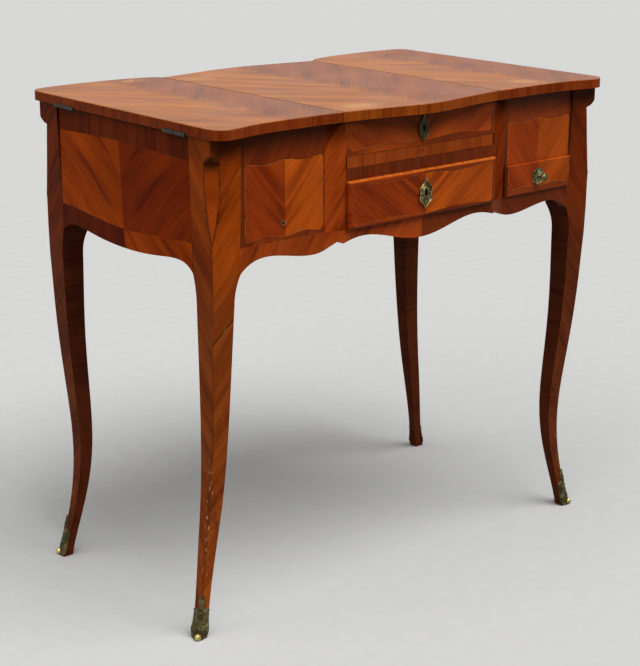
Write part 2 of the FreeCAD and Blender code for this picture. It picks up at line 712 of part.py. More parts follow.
def mirror_carrier():
    """Back rail and two tongued runners that slide in the dividers."""
    reach = DIVIDER_INNER - RUN_GAP
    rail = box(-reach, reach, INNER_BACK, CASE_HALF_DEPTH, RUNNER_BASE, CASE_TOP)
    bars = []
    for side in (1, -1):
        bars.append(box(side * (reach - RUNNER_WIDTH), side * reach, RUNNER_FRONT, CASE_HALF_DEPTH,
                        RUNNER_BASE, RUNNER_BASE + RUNNER_HEIGHT))
        bars.append(box(side * (reach - RUNNER_WIDTH), side * (reach + TONGUE_REACH), RUNNER_FRONT,
                        INNER_BACK - RUN_GAP, TONGUE_BASE, TONGUE_BASE + TONGUE_HEIGHT))
    carrier = rail.multiFuse(bars)
    for middle in (-MIRROR_HINGE_OFFSET, MIRROR_HINGE_OFFSET):
        carrier = carrier.cut(turned_to_back(leaf_seat(), middle))
    return solid_of(carrier)


def slide_leather():
    reach = SLIDE_REACH - LEATHER_MARGIN
    return box(-reach, reach, CENTRE_FRONT + LIPPING + LEATHER_MARGIN, SLIDE_BACK - LEATHER_BACK_MARGIN,
               SLIDE_TOP - LEATHER_THICKNESS, SLIDE_TOP)


def slide_board():
    """Writing slide behind its lipping, recessed for the leather."""
    board = box(-SLIDE_REACH, SLIDE_REACH, CENTRE_FRONT + LIPPING, SLIDE_BACK, SLIDE_BASE, SLIDE_TOP)
    return solid_of(board.cut(slide_leather()))


def slide_lipping():
    """Front edge of the slide, with the small hole of its missing pull."""
    lip = box(-SLIDE_REACH, SLIDE_REACH, CENTRE_FRONT, CENTRE_FRONT + LIPPING, SLIDE_BASE, SLIDE_TOP)
    hole = Part.makeCylinder(PULL_HOLE_RADIUS, PULL_HOLE_DEPTH,
                             point(0, CENTRE_FRONT, (SLIDE_BASE + SLIDE_TOP) / 2), point(0, 1, 0))
    return solid_of(lip.cut(hole))


def slide_cleats():
    """Two strips on the dividers that carry the slide."""
    top = SLIDE_BASE - RUN_GAP
    inner = SLIDE_REACH - CLEAT_WIDTH
    return Part.makeCompound([
        box(side * inner, side * DIVIDER_INNER, INNER_FRONT, INNER_BACK, top - CLEAT_HEIGHT, top)
        for side in (1, -1)
    ])


def drawer_runners():
    """Two rebated strips on the dividers: they carry and guide the middle drawer."""
    strips = []
    for side in (1, -1):
        bearer = box(side * (DIVIDER_INNER - STRIP_WIDTH), side * DIVIDER_INNER, INNER_FRONT, INNER_BACK,
                     DRAWER_SILL - STRIP_HEIGHT, DRAWER_SILL)
        guide = box(side * CENTRE_HALF_WIDTH, side * DIVIDER_INNER, INNER_FRONT, INNER_BACK,
                    DRAWER_SILL, DRAWER_SILL + STRIP_HEIGHT)
        strips.append(solid_of(bearer.fuse(guide)))
    return strips


def small_drawer_guides():
    """Strips between the small drawer and the boards beside it."""
    inner = STILE_OUTER + SMALL_INSET - DRAWER_FIT
    outer = POST_INNER_X - SMALL_INSET + DRAWER_FIT
    top = DRAWER_SILL + STRIP_HEIGHT
    return [
        box(DIVIDER_OUTER, inner, INNER_FRONT, INNER_BACK, DRAWER_SILL, top),
        box(outer, PANEL_INNER_X, -POST_INNER_Y, POST_INNER_Y, DRAWER_SILL, top),
    ]


def lock_block(front, back, plate_centre, top):
    """The outline of a lock, from below its keyhole to its top."""
    base = plate_centre + KEYHOLE_RISE - KEYHOLE_DROP - LOCK_MARGIN
    return box(-LOCK_WIDTH / 2, LOCK_WIDTH / 2, front, back, base, top)


def bolt_block(lock_front, room, low, high):
    """The outline of a bolt in the middle of its lock, with some room around it."""
    middle = lock_front + LOCK_DEPTH / 2
    half_width = BOLT_WIDTH / 2 + room
    half_depth = BOLT_DEPTH / 2 + room
    return box(-half_width, half_width, middle - half_depth, middle + half_depth, low, high)


def lock_case(front, plate_centre, top):
    """Lock case with the slot for its bolt."""
    slot = bolt_block(front, RUN_GAP, top - BOLT_HEIGHT - RUN_GAP, FAR)
    return solid_of(lock_block(front, front + LOCK_DEPTH, plate_centre, top).cut(slot))


def lock_bolt(front, top):
    return bolt_block(front, 0, top - BOLT_HEIGHT, top - RUN_GAP)


def strike(lock_front, base):
    """Mortise that a raised bolt enters, from its underside."""
    return bolt_block(lock_front, STRIKE_EXTRA, base - OVERCUT, base + BOLT_TRAVEL + STRIKE_EXTRA)


def keyhole(face, depth, plate_centre):
    """Round eye with a slot below, cut into a face."""
    height = plate_centre + KEYHOLE_RISE
    front = face - OVERCUT
    half = KEYHOLE_SLOT / 2
    eye = Part.makeCylinder(KEYHOLE_RADIUS, depth + OVERCUT, point(0, front, height), point(0, 1, 0))
    return eye.fuse(box(-half, half, front, face + depth, height - KEYHOLE_DROP, height))


def key_plate(face, centre, width, height):
    """Cast key plate: a lozenge of four hollow curves with rounded shoulders."""
    front = face - PLATE_THICKNESS
    edges = []
    for up in (1, -1):
        for side in (1, -1):

            def place(shares):
                return point(side * shares[0] * width / 2, front, centre + up * shares[1] * height / 2)

            edges.append(arc(place((0, 1)), place(PLATE_NECK), place(PLATE_SHOULDER)))
            edges.append(line(place(PLATE_SHOULDER), place(PLATE_FLANK)))
    plate = slab(edges, point(0, PLATE_THICKNESS, 0))
    return solid_of(plate.cut(keyhole(front, PLATE_THICKNESS + OVERCUT, centre)))


def lock_rail():
    """Rail behind the front edge of the middle lid, with lock recess and keyhole."""
    rail = band_piece(-CENTRE_HALF_WIDTH, CENTRE_HALF_WIDTH, SLIDE_HEAD, CASE_TOP)
    rail = rail.cut(lock_block(LID_LOCK_FRONT, FAR, LID_PLATE_CENTRE, FAR))
    return solid_of(rail.cut(keyhole(CENTRE_FRONT, LID_LOCK_SEAT + OVERCUT, LID_PLATE_CENTRE)))


def slide_rail():
    """Rail between slide and drawer, with the mortise for the drawer bolt."""
    rail = band_piece(-CENTRE_HALF_WIDTH, CENTRE_HALF_WIDTH, DRAWER_HEAD, SLIDE_SILL)
    return solid_of(rail.cut(strike(DRAWER_LOCK_FRONT, DRAWER_HEAD)))


def drawer_face(x0, x1, face, thickness, top, edge):
    """A drawer front with its outer edges rounded over."""
    blank = box(x0, x1, face, face + thickness, DRAWER_BASE, top)
    return round_edges(blank, edge, lambda one: at_front(one, face))


def drawer_front():
    """Middle drawer front, proud of the case, with lock recess and keyhole."""
    front = drawer_face(-DRAWER_REACH, DRAWER_REACH, DRAWER_FACE, DRAWER_FRONT_BOARD,
                        DRAWER_TOP, DRAWER_EDGE)
    front = front.cut(lock_block(DRAWER_LOCK_FRONT, FAR, DRAWER_PLATE_CENTRE, FAR))
    return solid_of(front.cut(keyhole(DRAWER_FACE, DRAWER_FRONT_BOARD, DRAWER_PLATE_CENTRE)))


def drawer_box(x0, x1, front, top):
    """Sides, back and bottom of a drawer."""
    wall = DRAWER_BOARD
    sides = Part.makeCompound([
        box(x0, x0 + wall, front, SLIDE_BACK, DRAWER_BASE, top),
        box(x1 - wall, x1, front, SLIDE_BACK, DRAWER_BASE, top),
    ])
    rear = box(x0 + wall, x1 - wall, SLIDE_BACK - wall, SLIDE_BACK, DRAWER_BASE, top - DRAWER_SIDE_DROP)
    bottom = box(x0 + wall, x1 - wall, front, SLIDE_BACK - wall, DRAWER_BASE, DRAWER_BASE + DRAWER_BOTTOM)
    return sides, rear, bottom


def small_drawer_front():
    """Small drawer front at the right, slightly proud."""
    return drawer_face(STILE_OUTER + DRAWER_FIT, POST_INNER_X - DRAWER_FIT, SMALL_FACE, SMALL_FRONT_BOARD,
                       SMALL_HEAD - DRAWER_FIT, SMALL_EDGE)


def on_knob(radius, out):
    """A point beside the axis of the knob, so far out from the drawer."""
    return point(KNOB_OFFSET + radius, SMALL_FACE - out, KNOB_HEIGHT)


def turned(edges):
    """A profile turned about the axis of the knob."""
    return Part.Face(Part.Wire(edges)).revolve(on_knob(0, 0), point(0, 1, 0), 360)


def rosette():
    """Dished back plate of the knob, with a raised rim."""
    profile = [
        (0, 0),
        (ROSETTE_RADIUS, 0),
        (ROSETTE_RADIUS - RIM_WIDTH / 2, RIM_HEIGHT),
        (ROSETTE_RADIUS - RIM_WIDTH, RIM_DISH),
        (KNOB_NECK_RADIUS, ROSETTE_THICKNESS),
        (0, ROSETTE_THICKNESS),
    ]
    spots = [on_knob(radius, out) for radius, out in profile]
    return turned([line(a, b) for a, b in zip(spots, spots[1:] + spots[:1])])


def knob():
    """Turned ball on a waisted neck."""
    waist = ROSETTE_THICKNESS + KNOB_NECK
    centre = waist + math.sqrt(KNOB_RADIUS ** 2 - KNOB_WAIST_RADIUS ** 2)
    foot = on_knob(KNOB_NECK_RADIUS, ROSETTE_THICKNESS)
    crown = on_knob(0, centre + KNOB_RADIUS)
    return turned([
        line(on_knob(0, ROSETTE_THICKNESS), foot),
        line(foot, on_knob(KNOB_WAIST_RADIUS, waist)),
        arc(on_knob(KNOB_WAIST_RADIUS, waist), on_knob(KNOB_RADIUS, centre), crown),
        line(crown, on_knob(0, ROSETTE_THICKNESS)),
    ])


def eyelet_barrel(radius):
    return Part.makeCylinder(radius, EYELET_DEPTH + EYELET_PROUD,
                             point(-KNOB_OFFSET, BAY_FRONT - EYELET_PROUD, KNOB_HEIGHT), point(0, 1, 0))


def left_front_panel():
    """Plain panel at the left, bored for the eyelet of its lost knob."""
    panel = band_piece(-POST_INNER_X, -STILE_OUTER, DRAWER_SILL, CASE_TOP)
    return solid_of(panel.cut(eyelet_barrel(EYELET_RADIUS)))


def pair(name, right):
    """A piece on the right and its mirror image on the left."""
    return {name + "_right": right, name + "_left": mirrored(right)}


def corner_pieces():
    """Legs and shoes on the four corners."""
    named = {}
    for name, back in (("leg", leg()), ("shoe", shoe())):
        front = mirrored(back, point(0, 1, 0))
        named.update(pair(name + "_back", back))
        named.update(pair(name + "_front", front))
    return named


def case_pieces():
    """Walls, rails, dividers and floors of the case."""
    named = {
        "back_panel": back_panel(),
        "front_apron": front_apron(),
        "front_panel_left": left_front_panel(),
        "front_panel_right": band_piece(STILE_OUTER, POST_INNER_X, SMALL_HEAD, CASE_TOP),
        "lock_rail": lock_rail(),
        "slide_rail": slide_rail(),
        "well_floor_left": bay_board(DRAWER_SILL, -1),
        "well_floor_right": bay_board(SMALL_HEAD + FLOOR_BOARD, 1),
        "small_drawer_floor": bay_board(DRAWER_SILL, 1),
        "tray_floor": tray_floor(),
        "slide_cleats": slide_cleats(),
        "drawer_runners": Part.makeCompound(drawer_runners() + small_drawer_guides()),
    }
    named.update(pair("side_panel", side_panel()))
    named.update(pair("front_stile", band_piece(CENTRE_HALF_WIDTH, STILE_OUTER, DRAWER_SILL, CASE_TOP)))
    named.update(pair("divider", divider()))
    return named


def lid_pieces():
    """Lids, hinges, and the mirror with its carrier."""
    named = {
        "lid_mirror": mirror_lid(),
        "lid_mirror_clamp": mirror_lid_clamp(),
        "lid_mirror_block": mirror_lid_block(),
        "mirror_glass": mirror_glass(),
        "mirror_fillet": mirror_fillet(),
        "mirror_carrier": mirror_carrier(),
        "hinge_leaves_mirror": mirror_hinges(fixed=True),
        "lid_hinge_leaves_mirror": mirror_hinges(fixed=False),
    }
    named.update(pair("lid", side_lid()))
    named.update(pair("hinge_leaves", side_hinges(fixed=True)))
    named.update(pair("lid_hinge_leaves", side_hinges(fixed=False)))
    return named


def drawer_pieces():
    """The middle drawer and the small drawer."""
    named = {"drawer_front": drawer_front(), "small_drawer_front": small_drawer_front()}
    middle = drawer_box(-DRAWER_REACH, DRAWER_REACH, DRAWER_FACE + DRAWER_FRONT_BOARD,
                        DRAWER_TOP - DRAWER_SIDE_DROP)
    small = drawer_box(STILE_OUTER + SMALL_INSET, POST_INNER_X - SMALL_INSET, SMALL_FACE + SMALL_FRONT_BOARD,
                       SMALL_HEAD - DRAWER_SIDE_DROP)
    for name, boards in (("drawer", middle), ("small_drawer", small)):
        for part, shape in zip(("_sides", "_back", "_bottom"), boards):
            named[name + part] = shape
    return named


def fittings():
    """Slide, locks, key plates, knob and eyelet."""
    return {
        "slide_board": slide_board(),
        "slide_lipping": slide_lipping(),
        "slide_leather": slide_leather(),
        "lid_key_plate": key_plate(CENTRE_FRONT, LID_PLATE_CENTRE, LID_PLATE_WIDTH, LID_PLATE_HEIGHT),
        "lid_lock_case": lock_case(LID_LOCK_FRONT, LID_PLATE_CENTRE, CASE_TOP),
        "lid_lock_bolt": lock_bolt(LID_LOCK_FRONT, CASE_TOP),
        "drawer_key_plate": key_plate(DRAWER_FACE, DRAWER_PLATE_CENTRE, DRAWER_PLATE_WIDTH,
                                      DRAWER_PLATE_HEIGHT),
        "drawer_lock_case": lock_case(DRAWER_LOCK_FRONT, DRAWER_PLATE_CENTRE, DRAWER_TOP),
        "drawer_lock_bolt": lock_bolt(DRAWER_LOCK_FRONT, DRAWER_TOP),
        "knob_rosette": rosette(),
        "knob": knob(),
        "knob_eyelet": solid_of(eyelet_barrel(EYELET_RADIUS).cut(eyelet_barrel(EYELET_BORE))),
    }


os.makedirs("parts", exist_ok=True)
for group in (corner_pieces(), case_pieces(), lid_pieces(), drawer_pieces(), fittings()):
    for name, shape in group.items():
        shape.exportStep(os.path.join("parts", name + ".step"))
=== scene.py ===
"""Looks of the poudreuse dressing table: veneers, mounts, light and camera."""

import math

import bmesh
import bpy
from mathutils import Matrix, Vector
from mathutils.bvhtree import BVHTree


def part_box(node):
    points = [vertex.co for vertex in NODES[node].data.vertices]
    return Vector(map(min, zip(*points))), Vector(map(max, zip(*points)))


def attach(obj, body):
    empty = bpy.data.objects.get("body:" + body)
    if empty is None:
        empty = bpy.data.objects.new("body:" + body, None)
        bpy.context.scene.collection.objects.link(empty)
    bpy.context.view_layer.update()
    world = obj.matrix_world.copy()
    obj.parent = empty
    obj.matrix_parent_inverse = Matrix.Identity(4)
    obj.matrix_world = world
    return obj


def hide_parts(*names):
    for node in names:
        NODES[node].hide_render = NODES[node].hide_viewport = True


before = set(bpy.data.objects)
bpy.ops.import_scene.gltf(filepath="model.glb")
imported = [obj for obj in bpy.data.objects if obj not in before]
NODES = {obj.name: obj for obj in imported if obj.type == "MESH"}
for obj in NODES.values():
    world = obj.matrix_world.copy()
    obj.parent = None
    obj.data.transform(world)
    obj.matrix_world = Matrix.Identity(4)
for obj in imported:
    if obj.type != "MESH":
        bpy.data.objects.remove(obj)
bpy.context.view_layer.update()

# Camera: picture in pixels, angles in degrees, places in metres, sensor in millimetres
IMAGE_LONG_SIDE = 666
IMAGE_MIDDLE = (320, 333)
FOCAL_PIXELS = 1616.5
PRINCIPAL_POINT = (280, 320)
AZIMUTH = -38.75
ELEVATION = 16.63
ROLL = -0.16
DISTANCE = 2.4886
LOOK_AT = (-0.071, 0.0202, 0.36)
SENSOR = 36.0

# Light: strength, spread in degrees and direction of each lamp, and strength of the even light
KEY_LAMP = (2.8, 42, (-0.15, 0.5, -1.0))
FILL_LAMP = (1.5, 60, (0.6, 0.2, -1.0))
WORLD_STRENGTH = 0.3
FLOOR_REACH = 30.0


def middle_of(node):
    """Middle of a node's box."""
    low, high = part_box(node)
    return (low + high) / 2


# Places that the frame gives, in metres
TOP_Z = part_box("lid_mirror")[1].z
CASE_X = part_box("side_panel_right")[1].x
CASE_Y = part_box("back_panel")[1].y
POST_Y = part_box("side_panel_right")[1].y
SEAM_X = (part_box("lid_mirror")[1].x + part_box("lid_right")[0].x) / 2
CENTRE_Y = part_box("lock_rail")[0].y
DRAWER_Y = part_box("drawer_front")[0].y
SMALL_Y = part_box("small_drawer_front")[0].y
KNOB = middle_of("knob_rosette")
LID_PLATE_Z = middle_of("lid_key_plate").z
DRAWER_PLATE_Z = middle_of("drawer_key_plate").z
PLATE_DEPTH = CENTRE_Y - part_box("lid_key_plate")[0].y

# Outer arris of a leg: height and reach along X and along Y
LEG_REACH = [
    (0.0, 0.384, 0.185),
    (0.048, 0.372, 0.1781),
    (0.108, 0.3614, 0.1735),
    (0.18, 0.3545, 0.1763),
    (0.275, 0.3561, 0.1879),
    (0.385, 0.3612, 0.1988),
    (0.48, 0.3636, 0.2042),
    (0.56, CASE_X, CASE_Y),
    (TOP_Z, CASE_X, CASE_Y),
]

# Lobe on the canted corner of a post: heights and widths
LOBE_TOP = 0.683
LOBE_FULL = 0.64
LOBE_END = 0.565
LOBE_REACH = 0.0142
LOBE_CROWN = 0.011
# Heights over which painted shade darkens the lobe's hollow top
LOBE_HOLLOW = (0.656, 0.672)
GROOVE_WIDTH = 0.0022

# Veneer on legs and posts: heights between which one kind gives way to another, and widths
POST_START = (0.44, 0.56)
ARRIS_END = (0.56, 0.575)
ARRIS_WIDTH = 0.0016
LEG_ANGLE = 52
LEG_PIECE = 0.03
INSIDE_PIECE = 0.05
INSIDE_FADE = (0.12, 0.42)
# Heights below which the legs darken with scuffs and painted shade
SCUFFED_AND_SHADED_BELOW = (0.08, 0.42)
KNOCKS_FROM = (0.06, 0.11)
KNOCKS_TO = (0.22, 0.3)
CRACK_ANGLE = 42
CRACK_WIDTH = 0.0028
CRACK_RIM = (0.0022, 0.0016)
CRACK_PATCH = (0.028, 0.034)

# Veneer on the case's sides: seam, sway and heights of the shaped joints
SIDE_SEAM_Y = 0.0045
SIDE_SEAM_LEAN = 0.06
SIDE_SEAM_Z = 0.62
SIDE_BAND_Z = 0.557
SIDE_CROSSBAND_Z = 0.673
SIDE_SWAY = 0.005
SIDE_SWAY_LENGTH = 0.34
SIDE_PIECE = 0.11
SIDE_ANGLE = 36
SIDE_BAND_ANGLE = 142
SIDE_POST_JOINT = 0.0016
SIDE_TOP_JOINT = 0.0008

# Veneer on the lids and on the front
LID_ANGLE = 52
LID_PIECE = 0.06
LID_SEAM_BLEND = (-0.014, 0.016)
LID_FRONT_STRIP = (0.214, 0.217)
SEAM_LINE = 0.0022
PANEL_HALF_WIDTH = 0.0665
PANEL_STRIP_START = (PANEL_HALF_WIDTH, 0.068)
PANEL_CORNER = 0.006
PANEL_RIPPLE = 0.0018
PANEL_ANGLE = 50
PANEL_SIDE_ANGLE = 88
INSET_RIPPLE = 0.002
INSET_ANGLES = (4, -3)
RAIL_PIECE = 0.075
APRON_MIDDLE = 0.174
APRON_ANGLE = -48
APRON_WING_ANGLES = (58, 128)
# Heights above the stringing of the drawer's top edge, painted as a highlight with some wear
DRAWER_WORN_LIT_EDGE = (0.0045, 0.0056)
# Heights over which the painted shadow under the lids comes in
LID_SHADOW_HEIGHTS = (0.668, 0.7)
JOINT_WIDTH = 0.0006
STRING_WIDTH = 0.001
STRING_SHADOW = (0.0008, 0.0022)
UPRIGHT = 90

# Stringing on the fronts of the middle bay: half width, lower and upper height
FALSE_FRONT_INSET = (0.136, 0.6655, 0.712)
DRAWER_INSET = (0.1355, 0.562, 0.6165)

# Marks in the veneer: how many to a metre along and across the grain, and the shift of their seed
BANDS = (7, 38, 1.7)
STREAKS = (14, 170, 4.1)
PORES = (50, 800, 8.3)
VEINS = (6, 85, 12.9)
BENDS = (5, 7)
BEND_REACH = 0.02

# Where the dark, middle and light tones of a veneer lie on its grain
TONE_PLACES = (0.33, 0.48, 0.66)

# Bump depths in metres
POLISH_DEPTH = 0.0004
LEATHER_DEPTH = 0.0006
SMOOTH_DEPTH = 0.0002
IRON_DEPTH = 0.0003

# Tints of the polish's sheen
WARM_SHEEN = (1.0, 0.5, 0.2)
PALE_SHEEN = (1.0, 0.8, 0.6)


def srgb(red, green, blue):
    """A colour given as it looks on a screen, 0 to 255, as linear light."""

    def linear(channel):
        share = channel / 255
        return share / 12.92 if share <= 0.04045 else ((share + 0.055) / 1.055) ** 2.4

    return (linear(red), linear(green), linear(blue), 1.0)


def tones(red, green, blue, spread=0.25):
    """Dark, middle and light streaks of one sheet of veneer."""
    middle = srgb(red, green, blue)
    dark = (middle[0] * (1 - spread), middle[1] * (1 - 1.25 * spread), middle[2] * (1 - 1.25 * spread), 1.0)
    light = (middle[0] * (1 + spread), middle[1] * (1 + 1.3 * spread), middle[2] * (1 + 1.3 * spread), 1.0)
    return [dark, middle, light]


class Number:
    """A number inside a material; arithmetic on it adds nodes."""

    def __init__(self, paint, socket):
        self.paint = paint
        self.socket = socket

    def __add__(self, other):
        return self.paint.math("ADD", self, other)

    def __radd__(self, other):
        return self.paint.math("ADD", other, self)

    def __sub__(self, other):
        return self.paint.math("SUBTRACT", self, other)

    def __rsub__(self, other):
        return self.paint.math("SUBTRACT", other, self)

    def __mul__(self, other):
        return self.paint.math("MULTIPLY", self, other)

    def __truediv__(self, other):
        return self.paint.math("DIVIDE", self, other)

    def __neg__(self):
        return self.paint.math("MULTIPLY", self, -1.0)

    def __abs__(self):
        return self.paint.math("ABSOLUTE", self)


class Paint:
    """A procedural material in the table's own coordinates."""

    def __init__(self, name):
        self.material = bpy.data.materials.new(name)
        self.material.use_nodes = True
        self.tree = self.material.node_tree
        self.shader = self.tree.nodes["Principled BSDF"]
        coordinates = self.node("ShaderNodeTexCoord")
        self.x, self.y, self.z = self.parts(coordinates.outputs["Object"])
        self.nx, self.ny, self.nz = self.parts(coordinates.outputs["Normal"])

    def node(self, kind):
        return self.tree.nodes.new(kind)

    def feed(self, target, value):
        if isinstance(value, Number):
            value = value.socket
        if isinstance(value, bpy.types.NodeSocket):
            self.tree.links.new(value, target)
        else:
            target.default_value = value

    def parts(self, socket):
        split = self.node("ShaderNodeSeparateXYZ")
        self.feed(split.inputs[0], socket)
        return [Number(self, output) for output in split.outputs]

    def math(self, operation, *values):
        node = self.node("ShaderNodeMath")
        node.operation = operation
        for target, value in zip(node.inputs, values):
            self.feed(target, value)
        return Number(self, node.outputs[0])

    def above(self, value, limit):
        return self.math("GREATER_THAN", value, limit)

    def least(self, first, second):
        return self.math("MINIMUM", first, second)

    def most(self, first, second):
        return self.math("MAXIMUM", first, second)

    def fade(self, value, start, end):
        """From 0 at start to 1 at end, smoothly."""
        node = self.node("ShaderNodeMapRange")
        node.interpolation_type = "SMOOTHSTEP"
        self.feed(node.inputs["Value"], value)
        self.feed(node.inputs["From Min"], start)
        self.feed(node.inputs["From Max"], end)
        return Number(self, node.outputs["Result"])

    def line(self, distance, width):
        """1 on a line of this width, 0 away from it."""
        return 1 - self.fade(abs(distance), width * 0.3, width * 0.7)

    def spot(self, a, b, centre, size):
        """1 in the middle of a soft patch, 0 outside it."""
        along = (a - centre[0]) / size[0]
        across = (b - centre[1]) / size[1]
        return 1 - self.fade(self.math("SQRT", along * along + across * across), 0.2, 1.0)

    def noise(self, x, y, z, detail=2.0, rough=0.5):
        join = self.node("ShaderNodeCombineXYZ")
        for target, value in zip(join.inputs, (x, y, z)):
            self.feed(target, value)
        node = self.node("ShaderNodeTexNoise")
        node.inputs["Scale"].default_value = 1.0
        node.inputs["Detail"].default_value = detail
        node.inputs["Roughness"].default_value = rough
        self.feed(node.inputs["Vector"], join.outputs[0])
        return Number(self, node.outputs["Fac"])

    def speckle(self, to_a_metre, detail=2.0, rough=0.5):
        """Noise that is the same in all directions."""
        spots = [place * to_a_metre for place in (self.x, self.y, self.z)]
        return self.noise(*spots, detail, rough)

    def ramp(self, value, stops):
        node = self.node("ShaderNodeValToRGB")
        marks = node.color_ramp.elements
        for place, _ in stops[2:]:
            marks.new(place)
        for mark, (place, colour) in zip(marks, stops):
            mark.position = place
            mark.color = colour
        self.feed(node.inputs[0], value)
        return node.outputs["Color"]

    def mix(self, share, first, second):
        node = self.node("ShaderNodeMix")
        node.data_type = "RGBA"
        self.feed(node.inputs[0], share)
        self.feed(node.inputs[6], first)
        self.feed(node.inputs[7], second)
        return node.outputs[2]

    def pick(self, share, first, second):
        """A number that is first where share is 0 and second where it is 1."""
        return first + (second - first) * share

    def edges(self, reach=0.0014):
        """1 on sharp edges, 0 on open faces."""
        rounded = self.node("ShaderNodeBevel")
        rounded.samples = 4
        rounded.inputs["Radius"].default_value = reach
        plain = self.node("ShaderNodeNewGeometry")
        facing = self.node("ShaderNodeVectorMath")
        facing.operation = "DOT_PRODUCT"
        self.feed(facing.inputs[0], rounded.outputs[0])
        self.feed(facing.inputs[1], plain.outputs["Normal"])
        return self.fade(1 - Number(self, facing.outputs["Value"]), 0.02, 0.22)

    def finish(self, colour, roughness, relief, depth, metallic=0.0, specular=0.5, tint=(1.0, 1.0, 1.0)):
        self.feed(self.shader.inputs["Base Color"], colour)
        self.feed(self.shader.inputs["Roughness"], roughness)
        self.shader.inputs["Metallic"].default_value = metallic
        self.feed(self.shader.inputs["Specular IOR Level"], specular)
        self.shader.inputs["Specular Tint"].default_value = (*tint, 1.0)
        bump = self.node("ShaderNodeBump")
        bump.inputs["Distance"].default_value = depth
        self.feed(bump.inputs["Height"], relief)
        self.feed(self.shader.inputs["Normal"], bump.outputs[0])
        return self.material


# Palettes of the veneers and the oak, dark to light, and single colours
TAN = tones(152, 87, 34, 0.3)
MAUVE = tones(126, 69, 38, 0.26)
PALE = srgb(178, 120, 62)
RED = tones(134, 48, 10, 0.38)
ORANGE = tones(168, 72, 14, 0.36)
AMBER = tones(150, 62, 10, 0.36)
BROWN = tones(136, 54, 14, 0.4)
LIPPING = tones(140, 60, 16, 0.22)
BORDER = tones(118, 44, 12, 0.34)
STILE = tones(146, 58, 16, 0.5)
STRIP = tones(98, 36, 9, 0.3)
DEEP = tones(104, 40, 12, 0.36)
CROSSBAND = tones(98, 34, 6, 0.36)
LOW_BAND = tones(88, 27, 4, 0.3)
SIDE_ORANGE = tones(150, 58, 5, 0.42)
SIDE_DARK = tones(120, 39, 3, 0.38)
LID_EDGE = tones(120, 47, 13, 0.32)
LID_EDGE_MIDDLE = tones(134, 60, 13, 0.28)
LOBE = tones(148, 60, 12, 0.3)
POST = tones(140, 57, 9, 0.42)
POST_DARK = tones(106, 38, 7, 0.4)
LEG_WARM = tones(134, 62, 20, 0.3)
LEG_DARK = tones(100, 44, 18, 0.34)
INSIDE = tones(72, 30, 15, 0.36)
OAK = tones(150, 112, 72)
STRING = srgb(176, 104, 46)
# Dark of the joints, also used for painted shadow lines beside the stringing and round the lobes
JOINT_AND_SHADE = srgb(34, 12, 4)
CHIP = srgb(206, 150, 104)
# Colour of the painted shadow under the lids
LID_SHADOW_COLOUR = srgb(34, 13, 6)
# Lighter colour of rubbed edges, also a painted highlight of the arrises
RUBBED_AND_LIT_WOOD = srgb(176, 96, 44)
LID_CLOUD = srgb(152, 84, 52)
LID_STRIP = srgb(150, 86, 62)
LID_SCRATCH = srgb(98, 53, 32)
LOBE_SHADE = srgb(44, 22, 14)
INSIDE_LOW = srgb(112, 50, 27)
SCUFF_AND_SHADE = srgb(52, 24, 14)
# Dark of scuffs on the legs, also painted shade low on the legs
CRACK = srgb(36, 20, 14)
CRACK_RED = srgb(96, 34, 10)
# Orange of the drawer's top edge: a painted highlight of its lit rounded arris, with some wear
WORN_LIT_EDGE_LOW = srgb(158, 70, 16)
WORN_LIT_EDGE_HIGH = srgb(204, 106, 34)
OAK_PORE = srgb(84, 56, 32)
# Painted shade of a keyhole
KEYHOLE_SHADE = srgb(9, 8, 5)
IRON = srgb(52, 51, 46)
RUST = srgb(66, 46, 34)
SILVER = srgb(226, 229, 230)
FOXING = srgb(120, 112, 100)
GILDING = srgb(168, 130, 66)


def streaks(paint, along, across, seed):
    """Stripes of tulipwood: soft bands, streaks, pores and a few dark veins along the grain."""
    bent = across + paint.noise(along * BENDS[0], across * BENDS[1], seed, 1.0) * BEND_REACH

    def marks(kind, detail):
        to_a_metre_along, to_a_metre_across, shift = kind
        return paint.noise(along * to_a_metre_along, bent * to_a_metre_across, seed + shift, detail)

    veins = paint.fade(marks(VEINS, 0.0), 0.6, 0.74)
    return marks(BANDS, 1.0) * 0.52 + marks(STREAKS, 2.0) * 0.3 + marks(PORES, 2.0) * 0.18 - veins * 0.13


def tinted(paint, value, palette):
    """The colour that a palette has at this value of the grain."""
    return paint.ramp(value, list(zip(TONE_PLACES, palette)))


def slanted(a, b, angle):
    """Places along and across a grain at this angle in the plane of a and b."""
    cosine = math.cos(math.radians(angle))
    sine = math.sin(math.radians(angle))
    return a * cosine + b * sine, b * cosine - a * sine


def leaf(paint, a, b, angle, seed, palette):
    """Colour and grain of one sheet of veneer."""
    along, across = slanted(a, b, angle)
    grain = streaks(paint, along, across, seed)
    return tinted(paint, grain, palette), grain


def chosen(paint, share, first, second):
    """First leaf where share is 0, second where it is 1."""
    return paint.mix(share, first[0], second[0]), paint.pick(share, first[1], second[1])


def matched(paint, a, b, seam, angle, seed, left, right):
    """Two leaves that mirror each other about a seam."""
    offset = a - seam
    along, across = slanted(abs(offset), b, angle)
    grain = streaks(paint, along, across, seed)
    colour = paint.mix(paint.above(offset, 0.0), tinted(paint, grain, left), tinted(paint, grain, right))
    return paint.mix(paint.line(offset, JOINT_WIDTH) * 0.5, colour, JOINT_AND_SHADE), grain


def crossbanded(paint, along_edge, across, seed, palette, length):
    """Short pieces of veneer side by side, each a little different, with dark joints."""
    place = along_edge / length + paint.noise(along_edge * 11, seed, 0.0, 0.0) * 0.9
    cell = paint.math("FLOOR", place)
    share = place - cell
    grain = streaks(paint, across, along_edge * 1.6, seed)
    value = grain + (paint.noise(cell * 5.3, seed, 0.5, 0.0) - 0.5) * 0.26
    joint = paint.above(abs(share - 0.5), 0.488)
    return paint.mix(joint * 0.45, tinted(paint, value, palette), JOINT_AND_SHADE), grain - joint * 0.4


